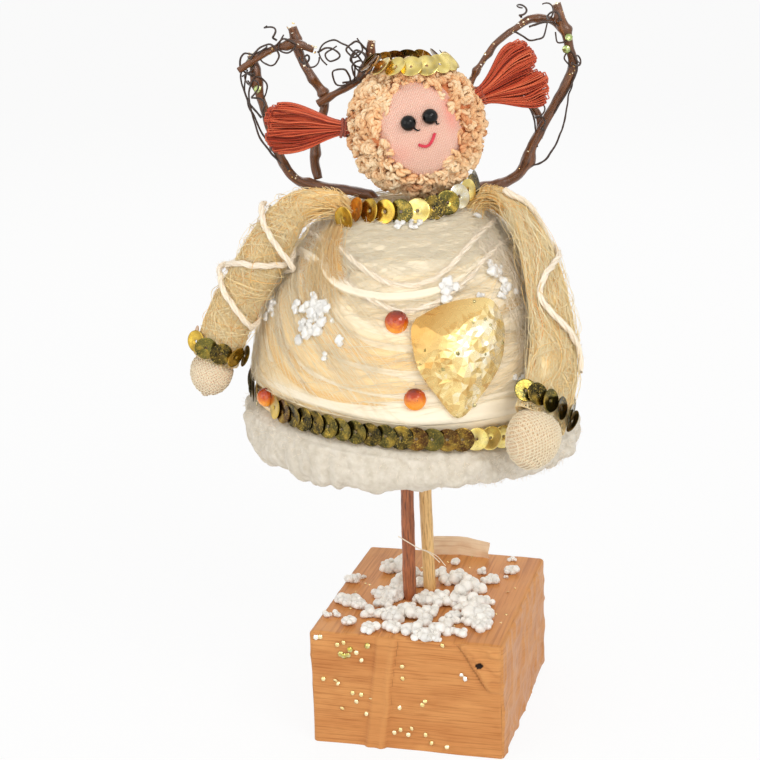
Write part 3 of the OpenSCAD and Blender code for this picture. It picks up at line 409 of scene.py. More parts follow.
def add_hairs(shape, root, out, stray, sizes, tint, r):
    """Short bowed hairs from the points root, near the directions out."""
    go = unit(out + stray * r.normal(size=root.shape))
    bow = unit(r.normal(size=root.shape))
    t = np.linspace(0, 1, 6)[None, :, None]
    size = r.uniform(*sizes, len(root))[:, None, None]
    add_tubes(shape, root[:, None] + go[:, None] * size * t + bow[:, None] * size * 0.6 * t**2, 0.035, 3, tint)


# Materials

def srgb(r, g, b):
    c = np.array([r, g, b], float) / 255
    c = np.where(c <= 0.04045, c / 12.92, ((c + 0.055) / 1.055) ** 2.4)
    return (float(c[0]), float(c[1]), float(c[2]), 1.0)


def lin(*rgb):
    return np.array(srgb(*rgb)[:3])


def node(tree, kind, inputs=None, **props):
    """A shader node with its properties set, and its inputs set or linked."""
    n = tree.nodes.new("ShaderNode" + kind)
    for key, value in props.items():
        setattr(n, key, value)
    for key, value in (inputs or {}).items():
        if isinstance(value, bpy.types.NodeSocket):
            tree.links.new(value, n.inputs[key])
        else:
            n.inputs[key].default_value = value
    return n


class Mat:
    """A node material; sockets of the shader that are the same all over are given by name."""

    def __init__(self, name, **sockets):
        self.m = bpy.data.materials.new(name)
        self.m.use_nodes = True
        self.tree = self.m.node_tree
        self.shader = self.tree.nodes["Principled BSDF"]
        for key, value in sockets.items():
            self.shader.inputs[key.replace("_", " ")].default_value = value

    def put(self, kind, inputs=None, **props):
        return node(self.tree, kind, inputs, **props)

    def link(self, socket, name):
        self.tree.links.new(socket, self.shader.inputs[name])

    def place(self):
        return self.put("TexCoord").outputs["Object"]

    def attr(self, name, out="Vector"):
        return self.put("Attribute", attribute_name=name).outputs[out]

    def tint(self):
        return self.attr("tint", "Fac")

    def scaled(self, vector, x, y, z):
        return self.put("VectorMath", {0: vector, 1: (x, y, z)}, operation="MULTIPLY").outputs[0]

    def noise(self, vector, scale, detail=3.0, rough=0.55, distort=0.0):
        return self.put("TexNoise", {"Vector": vector, "Scale": scale, "Detail": detail, "Roughness": rough,
                                     "Distortion": distort}).outputs["Fac"]

    def cells(self, vector, scale):
        return self.put("TexVoronoi", {"Vector": vector, "Scale": scale}).outputs["Distance"]

    def ramp(self, fac, *stops):
        n = self.put("ValToRGB", {"Fac": fac})
        e = n.color_ramp.elements
        for k, (at, colour) in enumerate(stops):
            if k > 1:
                e.new(at)
            e[k].position = at
            e[k].color = colour if isinstance(colour, tuple) else (colour, colour, colour, 1)
        return n.outputs["Color"]

    def mix(self, fac, a, b, mode="MIX"):
        return self.put("Mix", {0: fac, 6: a, 7: b}, data_type="RGBA", blend_type=mode).outputs[2]

    def calc(self, op, a, b=0.5, c=0.5):
        return self.put("Math", {0: a, 1: b, 2: c}, operation=op).outputs[0]

    def bump(self, height, strength=0.5, distance=0.2, over=None):
        """Bump of a height; distance is in millimetres."""
        inputs = {"Height": height, "Strength": strength, "Distance": distance * MM}
        if over is not None:
            inputs["Normal"] = over
        out = self.put("Bump", inputs).outputs["Normal"]
        self.link(out, "Normal")
        return out

    def colour(self, socket):
        self.link(socket, "Base Color")

    def rough(self, fac, low, high):
        self.link(self.put("MapRange", {"Value": fac, "To Min": low, "To Max": high}).outputs[0], "Roughness")


def film_material(name, light, mid, dark):
    m = Mat(name, Roughness=0.4, Specular_IOR_Level=0.1)
    flat = m.attr("flat")
    warp = m.noise(m.scaled(flat, 0.03, 0.12, 1), 1, 2)
    grain = m.noise(m.scaled(flat, 0.05, 1.9, 1), 1, 6, 0.62, 0.3)
    pores = m.noise(m.scaled(flat, 0.12, 3.6, 1), 1, 2, 0.5)
    wide = m.ramp(m.noise(m.scaled(flat, 0.045, 0.1, 1), 1, 3), (0.3, mid), (0.68, light))
    lines = m.mix(m.ramp(grain, (0.34, 0.6), (0.52, 0.0)), wide, dark)
    lines = m.mix(m.ramp(pores, (0.62, 0.0), (0.74, 0.4)), lines, dark)
    # Tint above 0.5 turns the film paler; film_lift uses this for the pale ply and for painted highlights and
    # painted light.
    pale = m.mix(m.ramp(m.tint(), (0.5, 0.0), (1.0, 0.55)), lines, light)
    # Tint below 0.3 turns it dark brown: the painted shade in creases and in the pin hole.
    m.colour(m.mix(m.ramp(m.tint(), (0.02, 1.0), (0.3, 0.0)), pale, srgb(40, 28, 20)))
    crease = m.noise(m.scaled(flat, 0.35, 0.35, 1), 1, 5, 0.65)
    m.rough(warp, 0.26, 0.46)
    m.bump(crease, 0.35, 0.5, m.bump(grain, 0.2, 0.12))
    return m.m


def snow_material(name, warm, shade):
    m = Mat(name, Roughness=0.85, Subsurface_Weight=0.35, Subsurface_Radius=(1.0, 0.95, 0.9),
            Subsurface_Scale=0.002)
    p = m.place()
    m.colour(m.mix(m.ramp(m.noise(p, 420, 3), (0.3, 0.0), (0.75, 1.0)), shade, warm))
    m.bump(m.cells(p, 900), 0.5, 0.3, m.bump(m.noise(p, 500, 5, 0.7), 0.6, 0.6))
    return m.m


def bark_material(name, red, brown, dark, pale, gloss):
    m = Mat(name, Roughness=gloss, Coat_Weight=0.25, Coat_Roughness=0.3)
    flat = m.attr("flat")
    streak = m.noise(m.scaled(flat, 2.2, 0.16, 1), 1, 5, 0.6)
    patch = m.noise(m.scaled(flat, 0.5, 0.1, 1), 1, 4, 0.6)
    c = m.mix(m.ramp(patch, (0.35, 0.0), (0.65, 1.0)), brown, red)
    c = m.mix(m.ramp(streak, (0.33, 0.85), (0.52, 0.0)), c, dark)
    c = m.mix(m.ramp(streak, (0.6, 0.0), (0.78, 0.55)), c, pale)
    rings = m.noise(m.scaled(flat, 0.3, 1.3, 1), 1, 3, 0.6)
    c = m.mix(m.ramp(rings, (0.7, 0.0), (0.8, 0.3)), c, dark)
    m.colour(m.mix(m.ramp(m.tint(), (0.7, 0.0), (0.9, 1.0)), c, srgb(214, 180, 130)))
    m.rough(streak, gloss + 0.15, gloss - 0.12)
    m.bump(rings, 0.3, 0.2, m.bump(streak, 0.6, 0.35))
    return m.m


def strand_material(name, dark, mid, light, rough, sheen=0.0, spread=1.0):
    """Fibres: each strand has its own tone by its tint, and fine streaks run along it."""
    m = Mat(name, Roughness=rough, Sheen_Weight=sheen, Sheen_Roughness=0.4, Specular_IOR_Level=0.25)
    flat = m.attr("flat")
    streak = m.noise(m.scaled(flat, 2.4, 0.014, 1), spread, 3, 0.55)
    tone = m.calc("MULTIPLY_ADD", streak, 0.5, m.calc("MULTIPLY_ADD", m.tint(), 0.75, -0.12))
    m.colour(m.ramp(tone, (0.12, dark), (0.45, mid), (0.8, light)))
    m.rough(streak, rough - 0.1, rough + 0.12)
    m.bump(streak, 0.35, 0.15)
    return m.m


def yarn_material(name, shade, light):
    m = Mat(name, Roughness=0.8, Sheen_Weight=0.35, Sheen_Roughness=0.5)
    flat = m.attr("flat")
    hair = m.noise(m.scaled(flat, 3.5, 0.5, 1), 1, 4, 0.65)
    m.colour(m.ramp(hair, (0.28, shade), (0.62, light)))
    m.bump(hair, 0.6, 0.3)
    return m.m


def knit_material(name, low, high, blush, wale, course):
    """Stocking stitch: rows of small Vs, by flat x and y in millimetres; tint is blush."""
    m = Mat(name, Roughness=0.8, Sheen_Weight=0.3, Sheen_Roughness=0.5, Subsurface_Weight=0.1,
            Subsurface_Radius=(1.0, 0.5, 0.35), Subsurface_Scale=0.001)
    flat = m.attr("flat")
    wobble = m.noise(flat, 0.9, 2)
    parts = m.put("SeparateXYZ", {0: flat})
    x = m.calc("MULTIPLY_ADD", wobble, 0.35, m.calc("DIVIDE", parts.outputs[0], wale))
    leg = m.calc("ABSOLUTE", m.calc("SUBTRACT", m.calc("FRACT", x), 0.5))
    y = m.calc("ADD", m.calc("DIVIDE", parts.outputs[1], course), m.calc("MULTIPLY", leg, 1.6))
    stitch = m.calc("SINE", m.calc("MULTIPLY", y, 2 * np.pi))
    rib = m.calc("SINE", m.calc("MULTIPLY", m.calc("FRACT", m.calc("MULTIPLY", x, 2.0)), np.pi))
    height = m.calc("MULTIPLY", rib, m.calc("MULTIPLY_ADD", stitch, 0.35, 0.65))
    hair = m.noise(flat, 6.0, 3, 0.7)
    # Colour follows the stitch height: darker in the hollows, painted shade, and paler on the crests, painted
    # highlight.
    c = m.mix(m.ramp(height, (0.1, 0.0), (0.65, 1.0)), low, high)
    c = m.mix(m.ramp(hair, (0.35, 0.0), (0.8, 0.3)), c, high)
    m.colour(m.mix(m.ramp(m.tint(), (0.5, 0.0), (1.0, 0.8)), c, blush))
    m.bump(hair, 0.25, 0.1, m.bump(height, 0.7, 0.22))
    return m.m


def sequin_material(name):
    m = Mat(name, Metallic=0.95, Roughness=0.2, Coat_Weight=0.2, Coat_Roughness=0.08)
    flat = m.attr("flat")
    # haze and the specks below mix gold into the disc's colour: painted reflections and painted glints.
    haze = m.noise(m.scaled(flat, 0.5, 0.5, 1), 1, 3)
    rays = m.noise(m.scaled(flat, 1.6, 1.6, 1), 1, 2)
    c = m.mix(m.ramp(haze, (0.35, 0.0), (0.7, 0.55)), m.attr("col", "Color"), srgb(232, 205, 110), "SOFT_LIGHT")
    painted_glints = m.noise(m.scaled(flat, 2.6, 2.6, 1), 1, 4, 0.7, 0.8)
    m.colour(m.mix(m.ramp(painted_glints, (0.54, 0.0), (0.63, 0.65)), c, srgb(214, 182, 84)))
    m.rough(rays, 0.12, 0.32)
    m.bump(haze, 0.25, 0.25)
    return m.m


def amber_material(name):
    m = Mat(name, Roughness=0.05, IOR=1.5, Subsurface_Weight=0.15, Subsurface_Radius=(1.0, 0.35, 0.08),
            Subsurface_Scale=0.002, Specular_IOR_Level=0.65)
    p = m.place()
    cloud = m.noise(p, 240, 3, 0.6, 0.6)
    # depth is painted light: darker where the surface faces up and lighter where it faces down, painted shade
    # over the top and a painted glow in the lower part, with a cloud of its own.
    low = m.put("SeparateXYZ", {0: m.put("TexCoord").outputs["Normal"]}).outputs[2]
    depth = m.calc("MULTIPLY_ADD", low, -0.34, m.calc("MULTIPLY_ADD", cloud, 0.6, 0.27))
    c = m.ramp(depth, (0.2, srgb(112, 26, 0)), (0.45, srgb(190, 64, 2)), (0.74, srgb(255, 160, 36)))
    m.colour(m.mix(m.ramp(m.cells(p, 700), (0.06, 0.6), (0.16, 0.0)), c, srgb(84, 24, 6)))
    m.bump(m.noise(p, 180, 2), 0.05, 0.2)
    return m.m


def foil_material(name):
    m = Mat(name, Metallic=0.6, Roughness=0.25)
    flat = m.attr("flat")
    fine = m.noise(m.scaled(flat, 0.6, 0.6, 1), 1, 3, 0.6, 1.0)
    spots = m.cells(m.scaled(flat, 0.2, 0.2, 1), 1)
    c = m.mix(m.ramp(spots, (0.07, 0.85), (0.1, 0.0)), m.attr("col", "Color"), srgb(120, 108, 40))
    scratch = m.noise(m.scaled(flat, 0.35, 1.6, 1), 1, 4, 0.65, 2.0)
    m.colour(m.mix(m.ramp(scratch, (0.3, 0.4), (0.37, 0.0)), c, srgb(170, 122, 50)))
    m.rough(fine, 0.18, 0.34)
    m.bump(fine, 0.12, 0.2, m.bump(scratch, 0.15, 0.12))
    return m.m


def hair_material(name, gap_shade, mid, light):
    m = Mat(name, Roughness=0.8, Specular_IOR_Level=0.2)
    flat = m.attr("flat")
    twist = m.noise(m.scaled(flat, 1.6, 0.9, 1), 1, 4, 0.65)
    tone = m.calc("MULTIPLY_ADD", twist, 0.55, m.calc("MULTIPLY_ADD", m.tint(), 0.6, -0.08))
    # The gap colour is painted shade, the rust of the gaps between loops, spread along the twist by noise.
    m.colour(m.ramp(tone, (0.15, gap_shade), (0.42, mid), (0.75, light)))
    m.bump(twist, 0.7, 0.35)
    return m.m


def glitter_material(name, rough):
    m = Mat(name, Metallic=0.85, Roughness=rough, Coat_Weight=0.5, Coat_Roughness=0.05)
    p = m.place()
    m.colour(m.mix(m.ramp(m.noise(p, 900, 2), (0.35, 0.0), (0.7, 0.5)), m.attr("col", "Color"),
                   srgb(250, 240, 200)))
    m.rough(m.noise(p, 1400, 2), rough - 0.06, rough + 0.12)
    m.bump(m.noise(p, 1200, 2), 0.2, 0.1)
    return m.m


def solid_material(name, low, high, scale, rough, sockets=None):
    """A plain rigid piece with mottling at a scale per metre, and a grain of its own."""
    m = Mat(name, Roughness=rough, **(sockets or {}))
    p = m.place()
    mottle = m.noise(p, scale, 5, 0.6)
    m.colour(m.ramp(mottle, (0.3, low), (0.7, high)))
    m.rough(mottle, max(rough - 0.08, 0.02), rough + 0.1)
    m.bump(m.noise(p, scale * 3, 4, 0.6), 0.2, 0.15)
    return m.m


# Each material's maker with its sRGB colours and other values
RECIPES = {
    "film": (film_material, (217, 155, 95), (195, 129, 75), (156, 90, 48)),
    "film_pale": (film_material, (244, 224, 196), (234, 206, 172), (214, 178, 140)),
    "snow": (snow_material, (255, 253, 249), (249, 245, 237)),
    # fluff: the snow's colours made darker, painted shade on the hem.
    "fluff": (snow_material, (230, 222, 208), (206, 196, 178)),
    "bark": (bark_material, (186, 108, 62), (150, 84, 46), (66, 34, 20), (222, 172, 122), 0.5),
    "peeled": (bark_material, (252, 214, 150), (242, 200, 132), (178, 126, 68), (252, 228, 176), 0.5),
    "twig": (bark_material, (134, 80, 38), (96, 57, 26), (36, 20, 12), (226, 172, 104), 0.27),
    "tendril": (bark_material, (74, 48, 30), (50, 33, 21), (22, 15, 10), (140, 100, 62), 0.36),
    "ribbon": (strand_material, (228, 172, 90), (244, 215, 160), (250, 238, 214), 0.36, 0.0, 2.4),
    "fibre": (strand_material, (236, 194, 122), (248, 226, 180), (252, 244, 224), 0.34),
    "yarn": (yarn_material, (248, 228, 198), (255, 244, 226)),
    "sisal_right": (strand_material, (242, 172, 90), (255, 220, 148), (255, 239, 198), 0.5),
    "sisal_left": (strand_material, (246, 172, 88), (255, 220, 146), (255, 240, 200), 0.5),
    "sequin": (sequin_material,),
    "amber": (amber_material,),
    "foil": (foil_material,),
    "hair": (hair_material, (206, 124, 76), (244, 198, 148), (254, 232, 196)),
    "hair_base": (hair_material, (196, 104, 64), (222, 140, 92), (236, 172, 120)),
    "face": (knit_material, (224, 162, 138), (246, 206, 188), (240, 148, 130), 0.95, 0.8),
    "hand_right": (knit_material, (204, 150, 116), (252, 230, 202), (232, 174, 146), 1.5, 1.3),
    "hand_left": (knit_material, (186, 142, 96), (246, 224, 188), (222, 180, 134), 1.4, 1.2),
    "net": (yarn_material, (226, 207, 172), (245, 231, 201)),
    "mouth": (yarn_material, (190, 24, 48), (232, 62, 84)),
    "thread": (strand_material, (128, 34, 14), (192, 70, 38), (228, 116, 76), 0.4, 0.1),
    "tie": (yarn_material, (120, 46, 30), (176, 84, 60)),
    "bead": (solid_material, (4, 4, 4), (12, 11, 12), 400, 0.1, {"Specular_IOR_Level": 0.25}),
    "glitter": (glitter_material, 0.2),
    "wire": (solid_material, (128, 126, 120), (176, 174, 168), 300, 0.4, {"Metallic": 0.9}),
    "block": (solid_material, (188, 148, 104), (222, 186, 140), 120, 0.75),
    "core": (solid_material, (232, 220, 190), (250, 243, 222), 260, 0.85),
    "peg": (solid_material, (190, 150, 96), (226, 192, 138), 150, 0.6),
}
MAT = {name: maker(name, *(srgb(*g) if isinstance(g, tuple) else g for g in given))
       for name, (maker, *given) in RECIPES.items()}

# Camera, light and floor

camera = stand("camera", bpy.data.cameras.new("camera"))
camera.data.lens = 84.22
camera.data.sensor_width = 36
camera.data.clip_start = 0.01
camera.matrix_world = Matrix((
    (0.99926, 0.03839, 0.0, -0.009285),
    (-0.01103, 0.28713, -0.9578, -0.506),
    (-0.03677, 0.95712, 0.2874, 0.25683),
    (0, 0, 0, 1)))
bpy.context.scene.camera = camera
bpy.context.scene.view_settings.view_transform = "Standard"


AIM = (0, 0, 0.11)


def lamp(name, place, size, power, tone):
    """A square lamp that shines on the middle of the figure; place and size are in metres."""
    light = bpy.data.lights.new(name, "AREA")
    light.size, light.energy, light.color = size, power, tone
    ob = stand(name, light)
    ob.location = place
    ob.rotation_euler = (Vector(AIM) - Vector(place)).to_track_quat("-Z", "Y").to_euler()


lamp("key", (0.45, -0.6, 0.72), 0.36, 2.4, (1.0, 0.985, 0.96))
lamp("fill", (-0.7, -0.5, 0.45), 0.7, 1.9, (1.0, 0.99, 0.97))
lamp("front", (0.0, -0.95, 0.36), 0.7, 1.5, (1.0, 0.985, 0.96))
lamp("rim", (0.1, 0.8, 0.7), 0.5, 1.5, (1.0, 1.0, 1.0))
lamp("spark", (0.16, -0.62, 0.5), 0.04, 0.4, (1.0, 1.0, 1.0))


def seen_directly(tree):
    """1 for rays from the camera and those that gloss or glass send on, else 0."""
    path = node(tree, "LightPath").outputs
    total = path["Is Camera Ray"]
    for other in ("Is Glossy Ray", "Is Transmission Ray"):
        total = node(tree, "Math", {0: total, 1: path[other]}, operation="MAXIMUM").outputs[0]
    return total


world = bpy.data.worlds.new("studio")
bpy.context.scene.world = world
world.use_nodes = True
tree = world.node_tree
tree.nodes.clear()
soft = node(tree, "Background", {"Color": (1.0, 0.99, 0.97, 1), "Strength": 0.6})
white = node(tree, "Background", {"Color": (1, 1, 1, 1)})
pick = node(tree, "MixShader", {0: seen_directly(tree), 1: soft.outputs[0], 2: white.outputs[0]})
node(tree, "OutputWorld", {0: pick.outputs[0]})


def floor_material():
    m = bpy.data.materials.new("floor")
    m.use_nodes = True
    t = m.node_tree
    t.nodes.clear()
    plain = node(t, "BsdfDiffuse", {"Color": (0.9, 0.9, 0.9, 1)}).outputs[0]
    part = node(t, "MixShader", {0: 0.9, 1: plain, 2: node(t, "Emission").outputs[0]}).outputs[0]
    choose = node(t, "MixShader", {0: seen_directly(t), 1: plain, 2: part}).outputs[0]
    node(t, "OutputMaterial", {0: choose})
    return m


floor_mesh = bpy.data.meshes.new("floor")
floor_mesh.from_pydata([(-4, -4, 0), (4, -4, 0), (4, 4, 0), (-4, 4, 0)], [], [(0, 1, 2, 3)])
floor_mesh.materials.append(floor_material())
floor = stand("floor", floor_mesh)


# Base: wrapped block, loose film end, snow and glitter

EDGE_R = 1.3
SEAM_TOP, SEAM_SLOPE, SEAM_W = -1.6, 0.14, 7.0
FOLD_A, FOLD_B = np.array([16.9, 34.4]), np.array([24.8, 22.2])
PIN, PIN_R = np.array([22.4, 29.7]), 1.0


def film_lift(face, q):
    """How far the film stands off at points q of a face, and its tint there; the tint also carries painted
    highlights on ridges, crests and edges and painted shade in creases.
    """
    lift = 0.22 * noise(q, 15, 3) + 0.12 * noise(q, 5.5, 4)
    tint = 0.5 + 0 * lift
    if face == "front":
        x, z = q[:, 0], q[:, 2]
        d = x - (SEAM_TOP + (z - BASE_H) * SEAM_SLOPE) + 0.5 * noise(q, 7, 9)
        ply = ease((d + SEAM_W) / 1.6) * (1 - ease((d + 0.5) / 0.6))
        ridge = bell((d + 1.5) / 0.7)
        lift = lift + 0.85 * ply + 0.35 * ridge + 0.25 * ply * noise(q * [3, 1, 0.5], 5, 8)
        # The ply is paler, and its rounded edge (ridge) gets a painted highlight.
        tint = tint + 0.3 * ply + 0.3 * ridge
        # Painted shade: dark lines in the creases at both edges of the ply, deeper higher up, and a dark patch
        # in the fold at its top.
        tint = tint - 0.45 * bell((d + 0.05) / 0.3) * (0.35 + 0.65 * ease((z - 4) / 20))
        tint = tint - 0.22 * bell((d + SEAM_W - 0.2) / 0.35)
        tint = tint - 0.45 * np.exp(-(((x + 3.2) / 0.9) ** 2 + ((z - 34.0) / 2.2) ** 2))
        n = unit(np.array([FOLD_A[1] - FOLD_B[1], FOLD_B[0] - FOLD_A[0]]))
        d = (q[:, [0, 2]] - FOLD_A) @ n + 0.4 * noise(q, 4, 12)
        high = ease((z - 20.5) / 2.5)
        flap = ease((d + 0.2) / 0.9) * high
        crumple = 1 - np.abs(noise(q, 3.4, 13))
        lift = lift + flap * (0.6 + 1.0 * crumple**5) - 0.5 * bell((d + 0.5) / 0.6) * high
        # Painted highlight on the crumpled crests of the folded corner, and painted shade along its crease.
        tint = tint + flap * (0.18 + 0.65 * crumple**6) - 0.6 * bell((d + 0.35) / 0.45) * high
        second = (q[:, [0, 2]] - [19.5, 33.5]) @ unit(np.array([0.62, 0.78])) + 0.3 * noise(q, 3, 15)
        # Painted shade along a second crease.
        tint = tint - 0.45 * bell(second / 0.35) * ease((x - 17) / 1.5) * ease((30.5 - x) / 2)
        lift = lift + 0.35 * bell((second - 0.5) / 0.5) * ease((x - 17) / 1.5)
        tint = np.maximum(tint, 0.2)
        pin = np.linalg.norm((q[:, [0, 2]] - PIN) * [0.8, 1.0], axis=1)
        lift = lift - 0.6 * np.exp(-((pin / PIN_R) ** 4))
        # Painted shade: the pin hole is set to tint 0, the darkest brown.
        tint = np.where(pin < PIN_R, 0.0, tint)
    elif face == "right":
        ridge = 1 - np.abs(noise(q, 6.5, 21))
        lift = lift + 0.5 * ridge**5 + 0.15 * noise(q, 2.4, 22)
        # The right face is made paler all over, painted light, and paler still on its crinkle crests, painted
        # highlights; the noise varies the tone.
        tint = tint + 0.16 + 0.2 * noise(q, 9, 23) + 0.3 * ridge**10
    elif face == "top":
        lift = lift + 0.12 * noise(q * [1, 0.4, 1], 4, 24)
        tint = tint + 0.1 + 0.14 * noise(q, 12, 25)
    else:
        lift = lift + 0.2 * (1 - np.abs(noise(q, 8, 26))) ** 4
    return np.maximum(lift, -0.22), tint


def add_film(shape):
    hx, hy = BASE_HALF
    step = 0.5
    spans = {"front": (hx, -1, 1), "back": (hx, 1, 1), "left": (hy, -1, 0), "right": (hy, 1, 0)}
    for face in ("front", "back", "left", "right", "top"):
        if face == "top":
            a = np.linspace(-hx, hx, int(2 * hx / step))
            c = np.linspace(-hy, hy, int(2 * hy / step))
            A, C = np.meshgrid(a, c)
            q = np.stack([A, C, np.full_like(A, BASE_H)], -1)
            flat = np.stack([C * 0.5, A * 0.4, np.full_like(A, 40.0)], -1)
        else:
            half, sign, which = spans[face]
            a = np.linspace(-half, half, int(2 * half / step))
            c = np.linspace(0.15, BASE_H, int(BASE_H / step))
            A, C = np.meshgrid(a, c)
            if which:
                q = np.stack([A * -sign, np.full_like(A, sign * hy), C], -1)
            else:
                q = np.stack([np.full_like(A, sign * hx), A * sign, C], -1)
            flat = np.stack([A, C, np.full_like(A, 10.0 * (sign + 2 * which))], -1)
        rows, cols = A.shape
        q, flat = q.reshape(-1, 3), flat.reshape(-1, 3)
        inner = np.clip(q, [-hx + EDGE_R, -hy + EDGE_R, -9], [hx - EDGE_R, hy - EDGE_R, BASE_H - EDGE_R])
        out = unit(q - inner)
        lift, tint = film_lift(face, q)
        edge = np.linalg.norm(q - inner, axis=1) - EDGE_R
        lift = lift * (1 - 0.7 * ease(edge / 0.6))
        # Painted highlight: the film is paler along the block's edges.
        tint = tint + 0.22 * ease(edge / 0.3) * (tint > 0.2)
        p = inner + out * (EDGE_R + lift)[:, None]
        shape.add(at_base(p), grid_faces(rows, cols), tint, flat)


film = Shape()
add_film(film)
film = make("film_wrap", film, MAT["film"], hides=["base_film"])

flap = Shape()
u, h = np.meshgrid(np.linspace(-1, 1, 49), np.linspace(0, 1, 15))
FLAP_R = 26.0
turn = np.degrees(10.0 / FLAP_R) * u
bow = FLAP_R + 0.5 * noise(np.stack([u * 3, h * 2, 0 * u], -1), 0.8, 31) + 0.9 * h * h
high = 36.2 + 6.0 * h * (1 - 0.16 * (u > 0) * u) + 0.25 * h * noise(np.stack([u * 4, h, h], -1), 1.0, 33)
flap_p = np.stack([2.0 + bow * sind(turn), 5.0 + bow * cosd(turn), high], -1)
flap.add(at_base(flap_p), grid_faces(15, 49)[:, ::-1], 0.5, np.stack([u * 10, h * 6, 0 * u], -1).reshape(-1, 3))
flap = make("film_end", flap, MAT["film_pale"], hides=["base_flap"])

# Snow crumbs on the block: x, y and size
CRUMBS = [
    (-28, -15, 1.5), (-25, -15, 1.5), (-23, -6, 2.6), (-22, -21, 2.3), (-20, -6, 2.3), (-18, -10, 2.3),
    (-15, -15, 2.5), (-20, 11, 2.4), (-17, 13, 1.0), (-15, -27, 2.5), (-12, -2, 2.6), (-11, -9, 2.6),
    (-9, -5, 2.9), (-11, -16, 2.5), (-9, -20, 3.0), (-7, 2, 3.2), (-5, -2, 2.6), (-9, -27, 2.5),
    (-6, -18, 3.0), (-4, 9, 2.7), (-6, 17, 3.2), (-4, 23, 2.7), (-9, 17, 2.4), (-9, 23, 1.9), (-2, -17, 3.1),
    (-3, -11, 1.8), (1, -22, 2.8), (-3, -29, 3.0), (0, -33, 2.5), (2, -33, 2.2), (5, -30, 3.0), (4, -35, 1.8),
    (1, -8, 2.6), (2, -4, 2.3), (5, -9, 3.1), (8, -10, 2.6), (7, -4, 2.1), (3, -16, 2.5), (8, -25, 2.5),
    (10, -21, 2.3), (10, 7, 2.7), (13, 7, 3.2), (14, -3, 3.7), (17, 1, 3.4), (13, -11, 3.1), (17, -13, 3.6),
    (20, -10, 2.6), (17, -22, 3.8), (15, -24, 2.5), (19, -24, 3.0), (18, -28, 2.5), (20, 13, 1.9),
    (22, 6, 2.1), (24, 7, 2.1), (30, 12, 2.2), (28, 9, 0.8), (31, 23, 1.4), (13, 22, 1.9), (11, -32, 2.2),
    (11, -15, 2.0), (0, 6, 2.4), (-2, 13, 2.3), (8, 13, 2.2), (3, 11, 2.0)]
snow = Shape()
r = rng(41)
spots, sizes = [], []
for x, y, size in CRUMBS:
    spots.append((x, y, BASE_H + 0.5 * size))
    sizes.append(size * 0.62)
    for _ in range(7 if size > 2 else 3):
        a, reach, part = r.uniform(0, 2 * np.pi), size * r.uniform(0.35, 0.95), size * r.uniform(0.36, 0.62)
        rise = r.uniform(0.25, 1.2 - 0.6 * reach / size) * size
        spots.append((x + reach * np.cos(a), y + reach * np.sin(a), BASE_H + rise))
        sizes.append(part)
add_blobs(snow, spots, sizes, 42, rough=0.14, squash=0.92, floor=BASE_H + 0.05)
make("snow_heap", snow, MAT["snow"], hides=["base_snow"])

# Flakes on the block's front: x and height; the last few are larger and greener
GLITTER = [
    (-25.3, 34.6), (-20.2, 32.5), (-18.3, 33.3), (-14.4, 30.5), (-11, 33), (-7.1, 31.1), (-13, 28.3),
    (-25, 21.1), (-21.3, 20.8), (-20.6, 20.1), (-16.2, 17.3), (-13.5, 17), (-15.1, 14.5), (-10.5, 15.9),
    (-19.6, 11.8), (-12.2, 10.9), (-0.6, 27.2), (-0.7, 23.4), (-1.7, 13.9), (6, 16.9), (5.1, 15.5),
    (-3.8, 5.5), (-1.9, 6.7), (1.5, 7.4), (0.5, 5.3), (5.7, 5.8), (7.4, 3.4), (12.2, 2.6), (11.6, 35),
    (-19.2, 29.6), (-18.2, 29.0), (-17.0, 29.3), (-16.2, 31.4)]


def add_flake(shape, c, n, size, sides, colour, seed):
    """A thin flat flake on a surface with normal n, tipped a little."""
    r = rng(seed)
    tip = unit(n + 0.25 * r.normal(size=3))
    m = axes(unit(np.cross(tip, [0.31, 0.22, 0.93])), tip)
    a = 2 * np.pi * (np.arange(sides) + r.uniform(0, 1)) / sides
    rim = np.stack([np.cos(a), np.sin(a), 0 * a], 1) * size
    low, high = rim - [0, 0, 0.06], rim * 0.9 + [0, 0, 0.1]
    v = np.concatenate([low, high, [[0, 0, 0.12]]]) @ m.T + c
    k = np.arange(sides)
    l = (k + 1) % sides
    walls = np.stack([k, l, sides + l, sides + k], 1)
    top = np.stack([sides + k, sides + l, 2 * sides + 0 * k], 1)
    shape.add(v, [walls, top], 0.5, None, colour)


glitter = Shape()
n = at_base([0, -1, 0]) - at_base([0, 0, 0])
for i, (x, z) in enumerate(GLITTER):
    c = at_base([x, -BASE_HALF[1] - 0.35, z])
    if i == 4 or i > 28:
        colour, size = lin(186, 172, 60), 0.95
    else:
        colour, size = (lin(240, 208, 130) if i % 3 else lin(252, 230, 176)), 0.78
    add_flake(glitter, c, n, size, 6, colour, 50 + i)
# The first two white flakes are a painted highlight, a glare on the film near (17.6, 25.8).
for i, (x, z, size) in enumerate([(17.2, 26.3, 0.7), (18.1, 25.2, 0.9), (-26.6, 34.4, 0.9)]):
    add_flake(glitter, at_base([x, -BASE_HALF[1] - 0.5, z]), n, size, 5, lin(252, 250, 244), 85 + i)
r = rng(51)
for i in range(26):
    x, y = r.uniform(-26, 26), r.uniform(-31, 30)
    add_flake(glitter, at_base([x, y, BASE_H + 0.2]), Z, r.uniform(0.3, 0.5), 6, lin(240, 210, 140), 90 + i)
make("base_glitter", glitter, MAT["glitter"])

# Legs: a bark twig and a peeled stick, and two loose fibres across them
LEG_R, SOCKET_R, LEG_SIDES = 2.0, 1.95, 28
IN_BASE, IN_BODY = 14.0, 22.0
